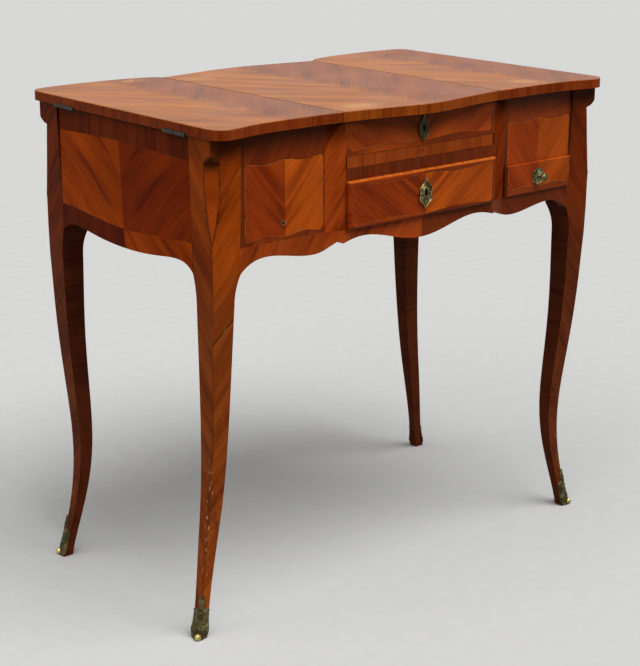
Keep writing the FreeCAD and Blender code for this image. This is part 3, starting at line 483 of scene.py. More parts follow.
def painted_shade_under_lids(paint, colour, strength=0.72):
    """Painted shadow close under the lids, darkening the colour up towards their overhang."""
    ragged = paint.noise(paint.x * 30, paint.y * 30, 7.0, 2.0) * 0.008
    return paint.mix(paint.fade(paint.z + ragged, *LID_SHADOW_HEIGHTS) * strength, colour, LID_SHADOW_COLOUR)


def bordered(paint, inside, inner, outer, strength=0.6):
    """Inner leaf inside an outline, outer leaf round it, and light stringing between."""
    colour, grain = chosen(paint, paint.fade(inside, -0.0002, 0.0002), outer, inner)
    aside, width = STRING_SHADOW
    # Painted shadow line beside the stringing
    shadow = paint.mix(paint.line(inside + aside, width) * 0.5 * strength, colour, JOINT_AND_SHADE)
    broken = paint.fade(paint.speckle(90, 1.0), 0.35, 0.6)
    return paint.mix(paint.line(inside, STRING_WIDTH) * broken * strength, shadow, STRING), grain


def polished(paint, colour, grain, wear_and_highlight=0.5, specular=0.09, tint=WARM_SHEEN):
    """French polish over a veneer: duller in the pores, rubbed and chipped on the edges, where the lighter
    rubbed colour is also a painted highlight on the arrises.
    """
    haze = paint.speckle(14, 3.0)
    edge = paint.edges()
    rubbed = paint.fade(paint.speckle(70, 3.0), 0.4, 0.66)
    chips = paint.fade(paint.speckle(420), 0.62, 0.68)
    # Lighter edges: rubbed wear and a painted highlight on the arrises
    colour = paint.mix(edge * rubbed * wear_and_highlight * 0.55, colour, RUBBED_AND_LIT_WOOD)
    colour = paint.mix(edge * chips * wear_and_highlight, colour, CHIP)
    roughness = 0.27 + haze * 0.16 + grain * 0.08 + edge * 0.12
    relief = grain * 0.5 + haze * 0.2 - edge * chips * 0.6
    return paint.finish(colour, roughness, relief, POLISH_DEPTH, specular=specular, tint=tint)


def give(material, *names):
    """Puts a material into every slot of these nodes."""
    for name in names:
        for slot in NODES[name].material_slots:
            slot.material = material


def rippled(paint, middle, low, high, half_width, ripple):
    """How far a place lies inside a panel with rounded corners whose top and bottom lines ripple."""
    wave = paint.math("COSINE", (paint.x - middle) * (2 * math.pi / half_width)) * ripple
    across = half_width - abs(paint.x - middle)
    down = paint.least(high + wave - paint.z, paint.z - (low - wave))
    short_across = paint.most(PANEL_CORNER - across, 0.0)
    short_down = paint.most(PANEL_CORNER - down, 0.0)
    return PANEL_CORNER - paint.math("SQRT", short_across * short_across + short_down * short_down)


def front_panel_material(name, middle, low, high, seam, strip_angle, right):
    """Inlaid panel of the front: matched leaves in a rippled outline."""
    paint = Paint(name)
    inner = matched(paint, paint.x, paint.z, seam, PANEL_ANGLE, seed=3.0 + middle, left=RED, right=right)
    outer = leaf(paint, paint.x, paint.z, strip_angle, seed=6.0, palette=BORDER)
    beside = paint.fade(abs(paint.x - middle), *PANEL_STRIP_START)
    strip = leaf(paint, paint.x, paint.z, PANEL_SIDE_ANGLE, seed=7.0, palette=STRIP)
    outer = chosen(paint, beside, outer, strip)
    inside = rippled(paint, middle, low, high, PANEL_HALF_WIDTH, PANEL_RIPPLE)
    colour, grain = bordered(paint, inside, inner, outer)
    return polished(paint, painted_shade_under_lids(paint, colour), grain)


def side_material(name):
    """Side of the case: crossband, two matched leaves and a shaped band below."""
    paint = Paint(name)
    seam = SIDE_SEAM_Y + (paint.z - SIDE_SEAM_Z) * SIDE_SEAM_LEAN
    panel = matched(paint, -paint.y, paint.z, -seam, SIDE_ANGLE, 11.0, left=SIDE_ORANGE, right=SIDE_DARK)
    crossband = crossbanded(paint, paint.y - 0.01, paint.z, seed=12.0, palette=CROSSBAND, length=SIDE_PIECE)
    back_band = leaf(paint, -paint.y, paint.z, UPRIGHT, seed=13.0, palette=LOW_BAND)
    front_band = leaf(paint, -paint.y, paint.z, SIDE_BAND_ANGLE, seed=14.0, palette=SIDE_ORANGE)
    band = chosen(paint, paint.above(-paint.y, -seam), back_band, front_band)
    sway = paint.math("COSINE", paint.y * (2 * math.pi / SIDE_SWAY_LENGTH)) * -SIDE_SWAY
    low = chosen(paint, paint.above(paint.z, SIDE_BAND_Z + sway), band, panel)
    colour, grain = chosen(paint, paint.above(paint.z, SIDE_CROSSBAND_Z - sway * 0.4), low, crossband)
    post_joint = paint.line(abs(paint.y) - POST_Y, SIDE_POST_JOINT)
    band_joint = paint.line(paint.z - SIDE_CROSSBAND_Z + sway * 0.4, SIDE_TOP_JOINT) * 0.5
    return polished(paint, paint.mix(paint.most(post_joint, band_joint), colour, JOINT_AND_SHADE), grain, specular=0.02)


def lid_material(name, seam, seed, spots, edge_palette):
    """Top of a lid in two matched leaves, with crossbanded edges."""
    paint = Paint(name)
    offset = paint.x - seam
    along, across = slanted(abs(offset), paint.y, LID_ANGLE)
    grain = streaks(paint, along, across, seed)
    wander = (paint.noise(along * 9, across * 60, seed, 2.0) - 0.5) * 0.09
    mauve = paint.fade(offset + wander, *LID_SEAM_BLEND)
    colour = paint.mix(mauve * 0.92, tinted(paint, grain, TAN), tinted(paint, grain, MAUVE))
    cloud = paint.noise(paint.x * 6, paint.y * 6, seed, 2.0)
    colour = paint.mix(paint.fade(cloud, 0.5, 0.74) * 0.45, colour, LID_CLOUD)
    streaky = paint.fade(grain, 0.36, 0.56)
    for centre, size in spots:
        colour = paint.mix(paint.spot(paint.x, paint.y, centre, size) * streaky * 0.85, colour, PALE)
    colour = paint.mix(paint.fade(-paint.y, *LID_FRONT_STRIP) * 0.35, colour, LID_STRIP)
    scratches = paint.fade(paint.noise(paint.x * 25, paint.y * 210, seed, 2.0), 0.68, 0.76)
    colour = paint.mix(scratches * 0.3, colour, LID_SCRATCH)
    colour = paint.mix(paint.line(abs(paint.x) - SEAM_X, SEAM_LINE) * 0.8, colour, JOINT_AND_SHADE)
    along_edge = paint.pick(paint.above(abs(paint.nx), abs(paint.ny)), paint.x, paint.y)
    band = crossbanded(paint, along_edge, paint.z, seed + 1, edge_palette, LID_PIECE)
    edge = paint.above(0.6, paint.nz)
    colour, grain = chosen(paint, edge, (colour, grain), band)
    return polished(paint, colour, grain, 0.8, 0.24 - edge * 0.21, PALE_SHEEN)


def reach_of(paint, column):
    """How far the outer arris of a leg stands out at each height."""
    values = [row[column] for row in LEG_REACH]
    low = min(values)
    span = max(values) - low
    node = paint.node("ShaderNodeFloatCurve")
    marks = node.mapping.curves[0].points
    while len(marks) < len(LEG_REACH):
        marks.new(0.5, 0.5)
    for mark, row in zip(marks, LEG_REACH):
        mark.location = (row[0] / TOP_Z, (row[column] - low) / span)
    node.mapping.update()
    paint.feed(node.inputs["Value"], paint.z / TOP_Z)
    return low + Number(paint, node.outputs[0]) * span


def chevron(paint, inset, seed, palette):
    """Veneer that rises away from the arris in pieces of slightly different tone."""
    along, across = slanted(inset, paint.z, LEG_ANGLE)
    place = across / LEG_PIECE + paint.noise(across * 23, seed, 0.0, 0.0) * 1.2
    cell = paint.math("FLOOR", place)
    grain = streaks(paint, along, across, seed)
    value = grain + (paint.noise(cell * 7.7, seed, 0.5, 0.0) - 0.5) * 0.3
    joint = paint.above(abs(place - cell - 0.5), 0.485)
    return paint.mix(joint * 0.35, tinted(paint, value, palette), JOINT_AND_SHADE), grain


def lobed(paint, outer, spread, seed):
    """Canted lobe of a post: its own upright leaf, with painted shade in its hollow top and a painted shaded
    groove round it.
    """
    half = paint.math("SQRT", paint.fade(paint.z, LOBE_END, LOBE_FULL)) * LOBE_REACH
    share = paint.least(spread / LOBE_REACH, 1.0)
    crown = LOBE_TOP - (1 - paint.math("SQRT", 1 - share * share)) * LOBE_CROWN
    within = paint.least(half - spread, crown - paint.z)
    colour, grain = leaf(paint, paint.x + paint.y, paint.z, UPRIGHT, seed, LOBE)
    # Painted shade in the lobe's hollow top
    colour = paint.mix(paint.fade(paint.z, *LOBE_HOLLOW) * 0.7, colour, LOBE_SHADE)
    colour, grain = chosen(paint, paint.above(within, 0.0), outer, (colour, grain))
    ragged = paint.fade(paint.speckle(160), 0.35, 0.6)
    # Dark ragged line round the lobe: its joint, with painted shade of a groove
    shaded_groove = paint.line(within, GROOVE_WIDTH) * (0.35 + ragged * 0.5) * paint.above(paint.z, LOBE_END)
    return paint.mix(shaded_groove, colour, JOINT_AND_SHADE), grain - shaded_groove * 0.5


def knocks_along(paint, inset, outside):
    """1 on the chips that follow the arris low on a leg."""
    near = 1 - paint.fade(abs(inset - 0.001), 0.002, 0.009) * 0.85
    height = paint.fade(paint.z, *KNOCKS_FROM) - paint.fade(paint.z, *KNOCKS_TO)
    knocks = paint.fade(paint.noise(paint.x * 260, paint.y * 260, paint.z * 130, 2.0), 0.62, 0.68)
    return knocks * near * height * outside


def cracked(paint, colour, inset, front, scuffs_and_shade, place):
    """Open slanting joint on a leg's front face: redder wood above it and a lighter rim."""
    along, across = slanted(inset, paint.z, CRACK_ANGLE)
    wander = paint.noise(along * 60, paint.z * 60, 3.0, 2.0) * 0.003
    redder = paint.fade(across, place, place + 0.001)
    redder = redder - paint.fade(across, place + CRACK_PATCH[0], place + CRACK_PATCH[1])
    colour = paint.mix(redder * front * 0.4, colour, CRACK_RED)
    colour = paint.mix(paint.line(across - place + wander, CRACK_WIDTH) * front * 0.8, colour, CRACK)
    rim = paint.line(across - place + CRACK_RIM[0], CRACK_RIM[1])
    return paint.mix(rim * front * scuffs_and_shade * 0.9, colour, CHIP)


def post_material(name, palette, post_palette, seed, chipped=0.35, crack=None):
    """Leg and post: herringbone leaves that meet at the arris, plain inside."""
    paint = Paint(name)
    side = paint.above(abs(paint.nx), abs(paint.ny))
    canted = paint.above(paint.least(abs(paint.nx), abs(paint.ny)), 0.3)
    outside = paint.fade(paint.nx * paint.x + paint.ny * paint.y, -0.02, 0.02)
    across_front = reach_of(paint, 1) - abs(paint.x)
    across_side = reach_of(paint, 2) - abs(paint.y)
    inset = paint.pick(side, across_front, across_side)
    lower = chevron(paint, inset, seed + side * 3.0, palette)
    upper = chevron(paint, inset, seed + 4.5 + side * 3.0, post_palette)
    outer = chosen(paint, paint.fade(paint.z, *POST_START), lower, upper)
    outer = lobed(paint, outer, abs(across_front - across_side), seed + 2)
    inner = crossbanded(paint, paint.z, paint.x + paint.y, seed + 5, INSIDE, INSIDE_PIECE)
    lighter = 0.5 - paint.fade(paint.z, *INSIDE_FADE) * 0.5
    inner = (paint.mix(lighter, inner[0], INSIDE_LOW), inner[1])
    colour, grain = chosen(paint, outside, inner, outer)
    arris = paint.line(inset, ARRIS_WIDTH) * (1 - canted) * (1 - paint.fade(paint.z, *ARRIS_END))
    # Joint at the arris, then painted shadow under the lids, weaker on the side faces
    colour = painted_shade_under_lids(paint, paint.mix(arris * 0.55, colour, JOINT_AND_SHADE), 0.72 - side * 0.4)
    # Dark patches, stronger low down: scuffs, and painted shade on the lower legs
    low = 1 - paint.fade(paint.z, *SCUFFED_AND_SHADED_BELOW)
    scuffs_and_shade = paint.fade(paint.noise(paint.x * 60, paint.y * 60, paint.z * 26, 4.0), 0.48, 0.66)
    colour = paint.mix(scuffs_and_shade * (0.1 + low * 0.4), colour, SCUFF_AND_SHADE)
    knocks = knocks_along(paint, inset, outside)
    colour = paint.mix(knocks * chipped, colour, CHIP)
    if crack:
        colour = cracked(paint, colour, inset, (1 - side) * (1 - canted), scuffs_and_shade, crack)
    return polished(paint, colour, grain - knocks * 0.5, specular=0.03)


def plain_veneer(name, angle, seed, palette):
    """One sheet of veneer over a whole upright piece."""
    paint = Paint(name)
    colour, grain = leaf(paint, paint.x, paint.z, angle, seed, palette)
    return polished(paint, painted_shade_under_lids(paint, colour), grain, specular=0.0)


def crossband_material(name, seed, palette):
    """Short upright pieces along a rail."""
    paint = Paint(name)
    colour, grain = crossbanded(paint, paint.x, paint.z, seed, palette, RAIL_PIECE)
    return polished(paint, colour, grain)


def matched_front(name, angle, seed, left, right, inset=None):
    """Front of the middle bay in two matched leaves, with or without stringing."""
    paint = Paint(name)
    colour, grain = matched(paint, paint.x, paint.z, 0.001, angle, seed, left, right)
    if inset:
        half_width, low, high = inset
        inside = rippled(paint, 0.0, low, high, half_width, INSET_RIPPLE)
        left_border = leaf(paint, paint.x, paint.z, INSET_ANGLES[0], seed + 1, left)
        right_border = leaf(paint, paint.x, paint.z, INSET_ANGLES[1], seed + 2, BORDER)
        border = chosen(paint, paint.above(paint.x, 0.0), left_border, right_border)
        colour, grain = bordered(paint, inside, (colour, grain), border, 0.35)
        # Painted highlight on the drawer's lit rounded top edge, speckled, with some wear in it
        worn_lit_top_edge = paint.fade(paint.z, high + DRAWER_WORN_LIT_EDGE[0], high + DRAWER_WORN_LIT_EDGE[1])
        speckle = paint.fade(paint.noise(paint.x * 500, paint.z * 500, 3.0, 2.0), 0.4, 0.6)
        colour = paint.mix(worn_lit_top_edge * 0.85, colour, paint.mix(speckle, WORN_LIT_EDGE_LOW, WORN_LIT_EDGE_HIGH))
    return polished(paint, painted_shade_under_lids(paint, colour, 0.5), grain)


def apron_material(name):
    """Shaped lower rail of the front: two leaves in the middle and a slanted leaf in each wing."""
    paint = Paint(name)
    middle = matched(paint, paint.x, paint.z, 0.003, APRON_ANGLE, seed=57.0, left=STILE, right=DEEP)
    wing_left = leaf(paint, paint.x, paint.z, APRON_WING_ANGLES[0], seed=6.0, palette=BROWN)
    wing_right = leaf(paint, paint.x, paint.z, APRON_WING_ANGLES[1], seed=8.0, palette=STRIP)
    wing = chosen(paint, paint.above(paint.x, 0.0), wing_left, wing_right)
    colour, grain = chosen(paint, paint.above(abs(paint.x), APRON_MIDDLE), middle, wing)
    return polished(paint, colour, grain, 0.25)


def oak_material():
    """Waxed oak for insides, floors, guides and runners."""
    paint = Paint("waxed_oak")
    colour, grain = leaf(paint, paint.y + paint.z * 0.3, paint.x + paint.z, angle=0, seed=41.0, palette=OAK)
    pores = paint.fade(paint.noise(paint.y * 120, paint.x * 2400, paint.z * 2400, 1.0), 0.62, 0.7)
    colour = paint.mix(pores * 0.6, colour, OAK_PORE)
    return paint.finish(colour, 0.5 + grain * 0.2, grain - pores * 0.4, POLISH_DEPTH, specular=0.3)


def bronze_material(name, hollow, rubbed, low=0.3, high=0.8, eye=None):
    """Cast bronze: brighter where it is rubbed, green-brown in the hollows, with a painted dark spot for the
    shade in a keyhole.
    """
    paint = Paint(name)
    cast = paint.speckle(260, 4.0, 0.6)
    patches = paint.speckle(90, 3.0)
    share = paint.fade(cast * 0.4 + patches * 0.6, low, high)
    share = paint.most(share, paint.edges(0.0008))
    colour = paint.mix(share, hollow, rubbed)
    if eye:
        # Painted shade of the keyhole: a dark spot where the plate has no hole
        colour = paint.mix(paint.spot(paint.x, paint.z, (0.0, eye), (0.005, 0.0145)), colour, KEYHOLE_SHADE)
    return paint.finish(colour, 0.5 - share * 0.2, cast, POLISH_DEPTH, metallic=0.9)


def iron_material():
    """Dark iron of hinges and locks, with a little rust."""
    paint = Paint("dark_iron")
    filed = paint.speckle(300, 3.0)
    rust = paint.fade(paint.speckle(50, 3.0), 0.5, 0.7)
    colour = paint.mix(rust, IRON, RUST)
    return paint.finish(colour, 0.45 + rust * 0.25, filed, IRON_DEPTH, metallic=0.7)


def mirror_material():
    """Old silvered plate: clear in the middle, foxed near its edge."""
    paint = Paint("silvered_glass")
    spots = paint.fade(paint.noise(paint.x * 45, paint.y * 45, 5.0, 4.0, 0.65), 0.6, 0.72)
    foxed = spots * paint.fade(abs(paint.x), 0.07, 0.112)
    ripple = paint.noise(paint.x * 8, paint.y * 8, 1.0, 1.0)
    colour = paint.mix(foxed, SILVER, FOXING)
    return paint.finish(colour, 0.03 + foxed * 0.3, ripple, SMOOTH_DEPTH, metallic=1.0)


def leather_material():
    """Worn brown leather with a tooled double line near its edge."""
    paint = Paint("worn_leather")
    low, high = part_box("slide_leather")
    pebble = paint.noise(paint.x * 900, paint.y * 900, 2.0, 2.0)
    worn = paint.noise(paint.x * 12, paint.y * 12, 3.0, 3.0)
    browns = [(0.38, srgb(58, 30, 16)), (0.5, srgb(84, 46, 24)), (0.62, srgb(112, 68, 38))]
    colour = paint.ramp(pebble * 0.4 + worn * 0.6, browns)
    inside = paint.least(high.x - abs(paint.x), paint.least(high.y - paint.y, paint.y - low.y))
    tooling = paint.most(paint.line(inside - 0.012, 0.0012), paint.line(inside - 0.015, 0.0006))
    colour = paint.mix(tooling * 0.8, colour, GILDING)
    return paint.finish(colour, 0.5 + worn * 0.2, pebble - tooling, LEATHER_DEPTH)


BRONZE = bronze_material("aged_bronze", srgb(56, 50, 30), srgb(150, 132, 86), 0.36, 0.84)
DARK_BRONZE = bronze_material("dark_bronze", srgb(40, 42, 28), srgb(96, 92, 62))
TOE_BRONZE = bronze_material("toe_bronze", srgb(120, 102, 50), srgb(224, 206, 132), 0.3, 0.62)
RUBBED_BRONZE = bronze_material("rubbed_bronze", srgb(78, 68, 38), srgb(196, 180, 122), 0.4, 0.68)
LID_PLATE_BRONZE = bronze_material("lid_plate_bronze", srgb(36, 38, 26), srgb(84, 82, 54), eye=LID_PLATE_Z)
DRAWER_PLATE_BRONZE = bronze_material("drawer_plate_bronze", srgb(50, 46, 28), srgb(112, 102, 66),
                                      eye=DRAWER_PLATE_Z)
KNOB_BRONZE = bronze_material("knob_bronze", srgb(56, 52, 32), srgb(176, 164, 112), 0.38, 0.75)

# Lids: name, seam, seed, worn pale spots with middle and reach, palette of the edges, and nodes
LIDS = [
    ("top_left", -0.244, 20.0, [((-0.205, 0.205), (0.03, 0.02))], LID_EDGE, ["lid_left"]),
    ("top_middle", -0.003, 25.0, [((-0.112, 0.165), (0.05, 0.035)), ((-0.1, -0.19), (0.05, 0.028))],
     LID_EDGE_MIDDLE, ["lid_mirror", "lid_mirror_clamp", "lid_mirror_block"]),
    ("top_right", 0.265, 29.0, [((0.24, -0.175), (0.035, 0.025))], LID_EDGE, ["lid_right"]),
]


def dress_lids():
    """Veneer on the three lids."""
    for name, seam, seed, spots, edge_palette, nodes in LIDS:
        give(lid_material(name, seam, seed, spots, edge_palette), *nodes)


def dress_legs():
    """Veneer on the four legs with their posts."""
    give(post_material("leg_left", LEG_WARM, POST, seed=31.0, chipped=0.95, crack=0.3215), "leg_front_left")
    give(post_material("leg_back", LEG_DARK, POST_DARK, seed=34.0), "leg_back_left", "leg_back_right")
    give(post_material("leg_right", LEG_DARK, POST_DARK, seed=36.0), "leg_front_right")


def dress_case():
    """Veneer on the sides, the front and the back."""
    give(side_material("case_side"), "side_panel_left", "side_panel_right")
    give(front_panel_material("left_panel", middle=-0.243, low=0.563, high=0.6635, seam=-0.243,
                              strip_angle=60, right=ORANGE), "front_panel_left")
    give(front_panel_material("right_panel", middle=0.248, low=0.566, high=0.6665, seam=0.246,
                              strip_angle=8, right=AMBER), "front_panel_right", "small_drawer_front")
    give(plain_veneer("left_stile", angle=60, seed=51.0, palette=STILE), "front_stile_left")
    give(plain_veneer("right_stile", angle=66, seed=52.0, palette=BORDER), "front_stile_right")
    give(matched_front("false_front", 42, 53.0, BROWN, STILE, FALSE_FRONT_INSET), "lock_rail")
    give(matched_front("drawer_leaves", 40, 54.0, RED, ORANGE, DRAWER_INSET), "drawer_front")
    give(crossband_material("rail_crossband", 55.0, STRIP), "slide_rail")
    give(crossband_material("lipping_crossband", 56.0, LIPPING), "slide_lipping", "slide_board")
    give(apron_material("apron_leaves"), "front_apron")
    give(matched_front("back_leaves", 38, 58.0, RED, BROWN), "back_panel")
    give(plain_veneer("carrier_veneer", angle=3, seed=60.0, palette=BROWN), "mirror_carrier")


def dress_insides():
    """Oak, iron, glass and leather."""
    give(oak_material(), "divider_left", "divider_right", "well_floor_left", "well_floor_right",
         "small_drawer_floor", "tray_floor", "slide_cleats", "drawer_runners",
         "drawer_sides", "drawer_back", "drawer_bottom", "small_drawer_sides", "small_drawer_back",
         "small_drawer_bottom", "mirror_fillet")
    give(iron_material(), "lid_lock_case", "lid_lock_bolt", "drawer_lock_case", "drawer_lock_bolt",
         "hinge_leaves_left", "hinge_leaves_right", "hinge_leaves_mirror", "lid_hinge_leaves_left",
         "lid_hinge_leaves_right", "lid_hinge_leaves_mirror")
    give(mirror_material(), "mirror_glass")
    give(leather_material(), "slide_leather")


def dress_mounts():
    """Bronze on the plates and the lost knob's eyelet."""
    give(LID_PLATE_BRONZE, "lid_key_plate")
    give(DRAWER_PLATE_BRONZE, "drawer_key_plate")
    give(BRONZE, "knob_eyelet")


def added(name, data):
    """A new object in the scene."""
    thing = bpy.data.objects.new(name, data)
    bpy.context.scene.collection.objects.link(thing)
    return thing


def placed(name, data, body, slot, *materials):
    """An object in the scene that rides on a body."""
    piece = added(name, data)
    for material in materials:
        data.materials.append(material)
    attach(piece, body)
    return piece


def mesh_of(name, form):
    """A smooth mesh with its faces turned outwards."""
    bmesh.ops.recalc_face_normals(form, faces=form.faces)
    for face in form.faces:
        face.smooth = True
    mesh = bpy.data.meshes.new(name)
    form.to_mesh(mesh)
    form.free()
    return mesh


def between(table, height):
    """Value at a height in a table of heights and values."""
    for (low, start), (high, end) in zip(table, table[1:]):
        if height <= high:
            share = (height - low) / (high - low)
            return start + (end - start) * max(0.0, share)
    return table[-1][1]


def bell(distance, width):
    """1 in the middle of a rounded ridge, falling to 0 beside it."""
    return math.exp(-((distance / width) ** 2))


MM = 0.001

# Sabots, in millimetres: half width across the arris at each height, and thickness of the wooden foot
SABOT_OUTLINE = [(0.4, 8.6), (2.5, 10.6), (6, 11.9), (14, 12.2), (22, 11.4), (29, 10.4), (37, 10.3),
                 (39.5, 10.5), (41, 9.2), (42.5, 3.4), (46, 2.7), (50, 4.6), (54, 4.0), (59, 2.2), (64, 0.3)]
FOOT_THICKNESS = [(0, 16.2), (48, 14.4), (70, 15.2)]
SABOT_ROWS = 84
SABOT_COLUMNS = 44
SABOT_BASE = 0.4
SABOT_TOP = 64.0
SABOT_WALL = 0.7
SABOT_SWELL = 1.0
SABOT_INNER = -0.3
ARRIS_ROUND = 2.0
RAY_START = 50.0
RAY_STEP = 0.98
TOE_RADIUS = 4.8
TOE_SEGMENTS = (28, 18)
TOE_INSET = 1.0
TOE_LIFT = 0.2

# Relief of a sabot, in millimetres: ridges as rise and width, shield as middle and reach
SHIELD = (26, 12)
FLUTE_PITCH = 5.0
FLUTE_RISE = 0.7
FLUTE_SINK = 0.3
COLLAR_HEIGHT = 37.0
COLLAR_SWAY = 2.4
COLLAR_RIDGE = (1.1, 1.4)
LEAF_BASE = 42.5
LEAF_RIB = (0.9, 1.1)
LEAF_EYE = 51.5
LEAF_EYE_BOSS = (0.7, 1.6)
CHEVRON_HEIGHT = 17.0
CHEVRON_SLOPE = 1.5
CHEVRON_RIDGE = (0.8, 1.2)
CHEVRON_REACH = 5.0
SCROLL_PLACE = (8.2, 13.5)
SCROLL_RADIUS = 6.4
SCROLL_RISE = (0.7, 1.1)
COIL_PITCH = 3.0


def ridge(distance, rise_and_width):
    """Height of a rounded ridge at this distance from its middle."""
    rise, width = rise_and_width
    return rise * bell(distance, width)


def scroll_relief(aside, up):
    """Rise of a coiled scroll at this place from its eye."""
    radius = math.hypot(aside, up)
    if radius >= SCROLL_RADIUS:
        return 0.0
    share = radius / SCROLL_RADIUS
    coil = 0.5 + 0.5 * math.cos(2 * math.pi * radius / COIL_PITCH - math.atan2(up, aside))
    return math.sqrt(1 - share * share) * (SCROLL_RISE[0] + SCROLL_RISE[1] * coil)


def sabot_relief(across, height, half_width):
    """How far the casting stands off the wood, in millimetres."""
    lift = SABOT_WALL + SABOT_SWELL * (1 - abs(across / half_width) ** 6)
    flutes = FLUTE_RISE * math.cos(2 * math.pi * across / FLUTE_PITCH) - FLUTE_SINK
    lift += bell(height - SHIELD[0], SHIELD[1]) * flutes
    if height < LEAF_BASE:
        lift += ridge(height - COLLAR_HEIGHT - COLLAR_SWAY * (abs(across) / 10) ** 1.5, COLLAR_RIDGE)
    else:
        lift += ridge(across, LEAF_RIB) + ridge(math.hypot(across, height - LEAF_EYE), LEAF_EYE_BOSS)
    chevron_line = height - CHEVRON_HEIGHT + CHEVRON_SLOPE * abs(across)
    lift += ridge(chevron_line, CHEVRON_RIDGE) * bell(across, CHEVRON_REACH)
    return lift + scroll_relief(abs(across) - SCROLL_PLACE[0], height - SCROLL_PLACE[1])


def leg_skin(corner, sign_x, sign_y):
    """A function that gives places on a foot's two outer faces, lifted off the wood."""
    wood = NODES["leg_" + corner].data
    tree = BVHTree.FromPolygons([v.co for v in wood.vertices], [p.vertices for p in wood.polygons])
    outward = Vector((sign_x, sign_y, 0)).normalized()
    sideways = Vector((sign_x, -sign_y, 0)).normalized()
    reach_x, reach_y = ([(row[0], row[column]) for row in LEG_REACH] for column in (1, 2))

    def on_leg(across, height, lift):
        level = height * MM
        arris = Vector((sign_x * between(reach_x, level), sign_y * between(reach_y, level), level))
        limit = between(FOOT_THICKNESS, height) / math.sqrt(2)
        held = max(-limit, min(limit, across))
        spot = None
        while spot is None:
            spot = tree.ray_cast(arris + (outward * RAY_START + sideways * held) * MM, -outward)[0]
            if spot is None:
                held *= RAY_STEP
        turn = max(-1.0, min(1.0, across / ARRIS_ROUND))
        past = (across - held) * math.sqrt(2)
        along = (sideways - outward * (1 if across > 0 else -1)).normalized()
        away = (outward + sideways * turn).normalized()
        return spot + along * past * MM + away * lift * MM

    return on_leg


def sheet_between(form, low, high):
    """Faces between two rows of points."""
    for k in range(len(low) - 1):
        form.faces.new((low[k], low[k + 1], high[k + 1], high[k]))


def sabot_shell(form, on_leg):
    """Thin casting round the arris: relief outside, smooth inside, closed along its rims."""
    outer = []
    inner = []
    for row in range(SABOT_ROWS + 1):
        height = SABOT_BASE + (SABOT_TOP - SABOT_BASE) * row / SABOT_ROWS
        half_width = between(SABOT_OUTLINE, height)
        places = [half_width * (2 * column / SABOT_COLUMNS - 1) for column in range(SABOT_COLUMNS + 1)]
        lifts = [sabot_relief(across, height, half_width) for across in places]
        outer.append([form.verts.new(on_leg(across, height, lift)) for across, lift in zip(places, lifts)])
        inner.append([form.verts.new(on_leg(across, height, SABOT_INNER)) for across in places])
    for grid in (outer, inner):
        for low, high in zip(grid, grid[1:]):
            sheet_between(form, low, high)
    for end in (0, -1):
        sheet_between(form, outer[end], inner[end])
        sheet_between(form, [row[end] for row in outer], [row[end] for row in inner])


def ball_toe(form, sign_x, sign_y):
    """Ball at the tip of a foot, in the casting's second material."""
    shell_faces = len(form.faces)
    foot = Vector((sign_x * LEG_REACH[0][1], sign_y * LEG_REACH[0][2], 0))
    toe = foot - Vector((sign_x, sign_y, 0)) * TOE_INSET * MM
    toe.z = (TOE_RADIUS + TOE_LIFT) * MM
    bmesh.ops.create_uvsphere(form, u_segments=TOE_SEGMENTS[0], v_segments=TOE_SEGMENTS[1],
                              radius=TOE_RADIUS * MM, matrix=Matrix.Translation(toe))
    form.faces.ensure_lookup_table()
    for face in form.faces[shell_faces:]:
        face.material_index = 1


def sabot(corner, sign_x, sign_y):
    """Cast sabot: leaf up the arris, collar, fluted shield, side scrolls and a ball toe."""
    form = bmesh.new()
    sabot_shell(form, leg_skin(corner, sign_x, sign_y))
    ball_toe(form, sign_x, sign_y)
    piece = placed("sabot_" + corner, mesh_of("sabot", form), "case", "bronze", BRONZE, TOE_BRONZE)
    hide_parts("shoe_" + corner)


def strands(name, paths, body, material):
    """Cast scrolls: smooth strands of changing thickness."""
    data = bpy.data.curves.new(name, "CURVE")
    data.dimensions = "3D"
    data.bevel_depth = 1.0
    data.bevel_resolution = 3
    data.resolution_u = 6
    data.use_fill_caps = True
    for path, closed in paths:
        spline = data.splines.new("NURBS")
        spline.points.add(len(path) - 1)
        for mark, (spot, radius) in zip(spline.points, path):
            mark.co = (*spot, 1.0)
            mark.radius = radius
        spline.order_u = 3
        spline.use_endpoint_u = not closed
        spline.use_cyclic_u = closed
    placed(name, data, body, "bronze", material)


# Scrolls of a key plate: place as shares of its half width and half height, and thickness
PLATE_SCROLLS = [
    [(0.08, 0.95, 0.5), (0.22, 0.74, 0.7), (0.5, 0.56, 0.9), (0.86, 0.4, 1.0), (1.0, 0.14, 0.9),
     (0.84, -0.04, 0.8), (0.64, 0.02, 0.7), (0.7, 0.18, 0.5)],
    [(0.78, -0.12, 0.6), (1.0, -0.26, 0.9), (0.9, -0.5, 1.0), (0.56, -0.62, 0.9), (0.3, -0.78, 0.8),
     (0.1, -0.97, 0.5)],
    [(0.28, -0.34, 0.5), (0.44, -0.26, 0.7), (0.64, -0.34, 0.8), (0.64, -0.48, 0.6), (0.5, -0.47, 0.5)],
    [(0.2, 0.56, 0.5), (0.36, 0.42, 0.7), (0.58, 0.32, 0.6), (0.6, 0.2, 0.4)],
]
PLATE_MIDDLE = [
    [(0.0, 0.52, 0.4), (0.0, 0.7, 0.9), (0.0, 0.86, 0.6), (0.0, 1.0, 0.9), (0.0, 1.03, 0.4)],
    [(0.0, -0.36, 0.4), (0.0, -0.56, 1.1), (0.0, -0.74, 0.9), (0.0, -0.98, 0.5)],
]
CARTOUCHE = (0.4, 0.34, 0.06)
CARTOUCHE_MARKS = 12
CARTOUCHE_THICKNESS = 0.7
LID_PLATE_SIZE = (0.018, 0.037)
DRAWER_PLATE_SIZE = (0.024, 0.043)
PLATE_WIDTH_OF_MARKS = 0.02


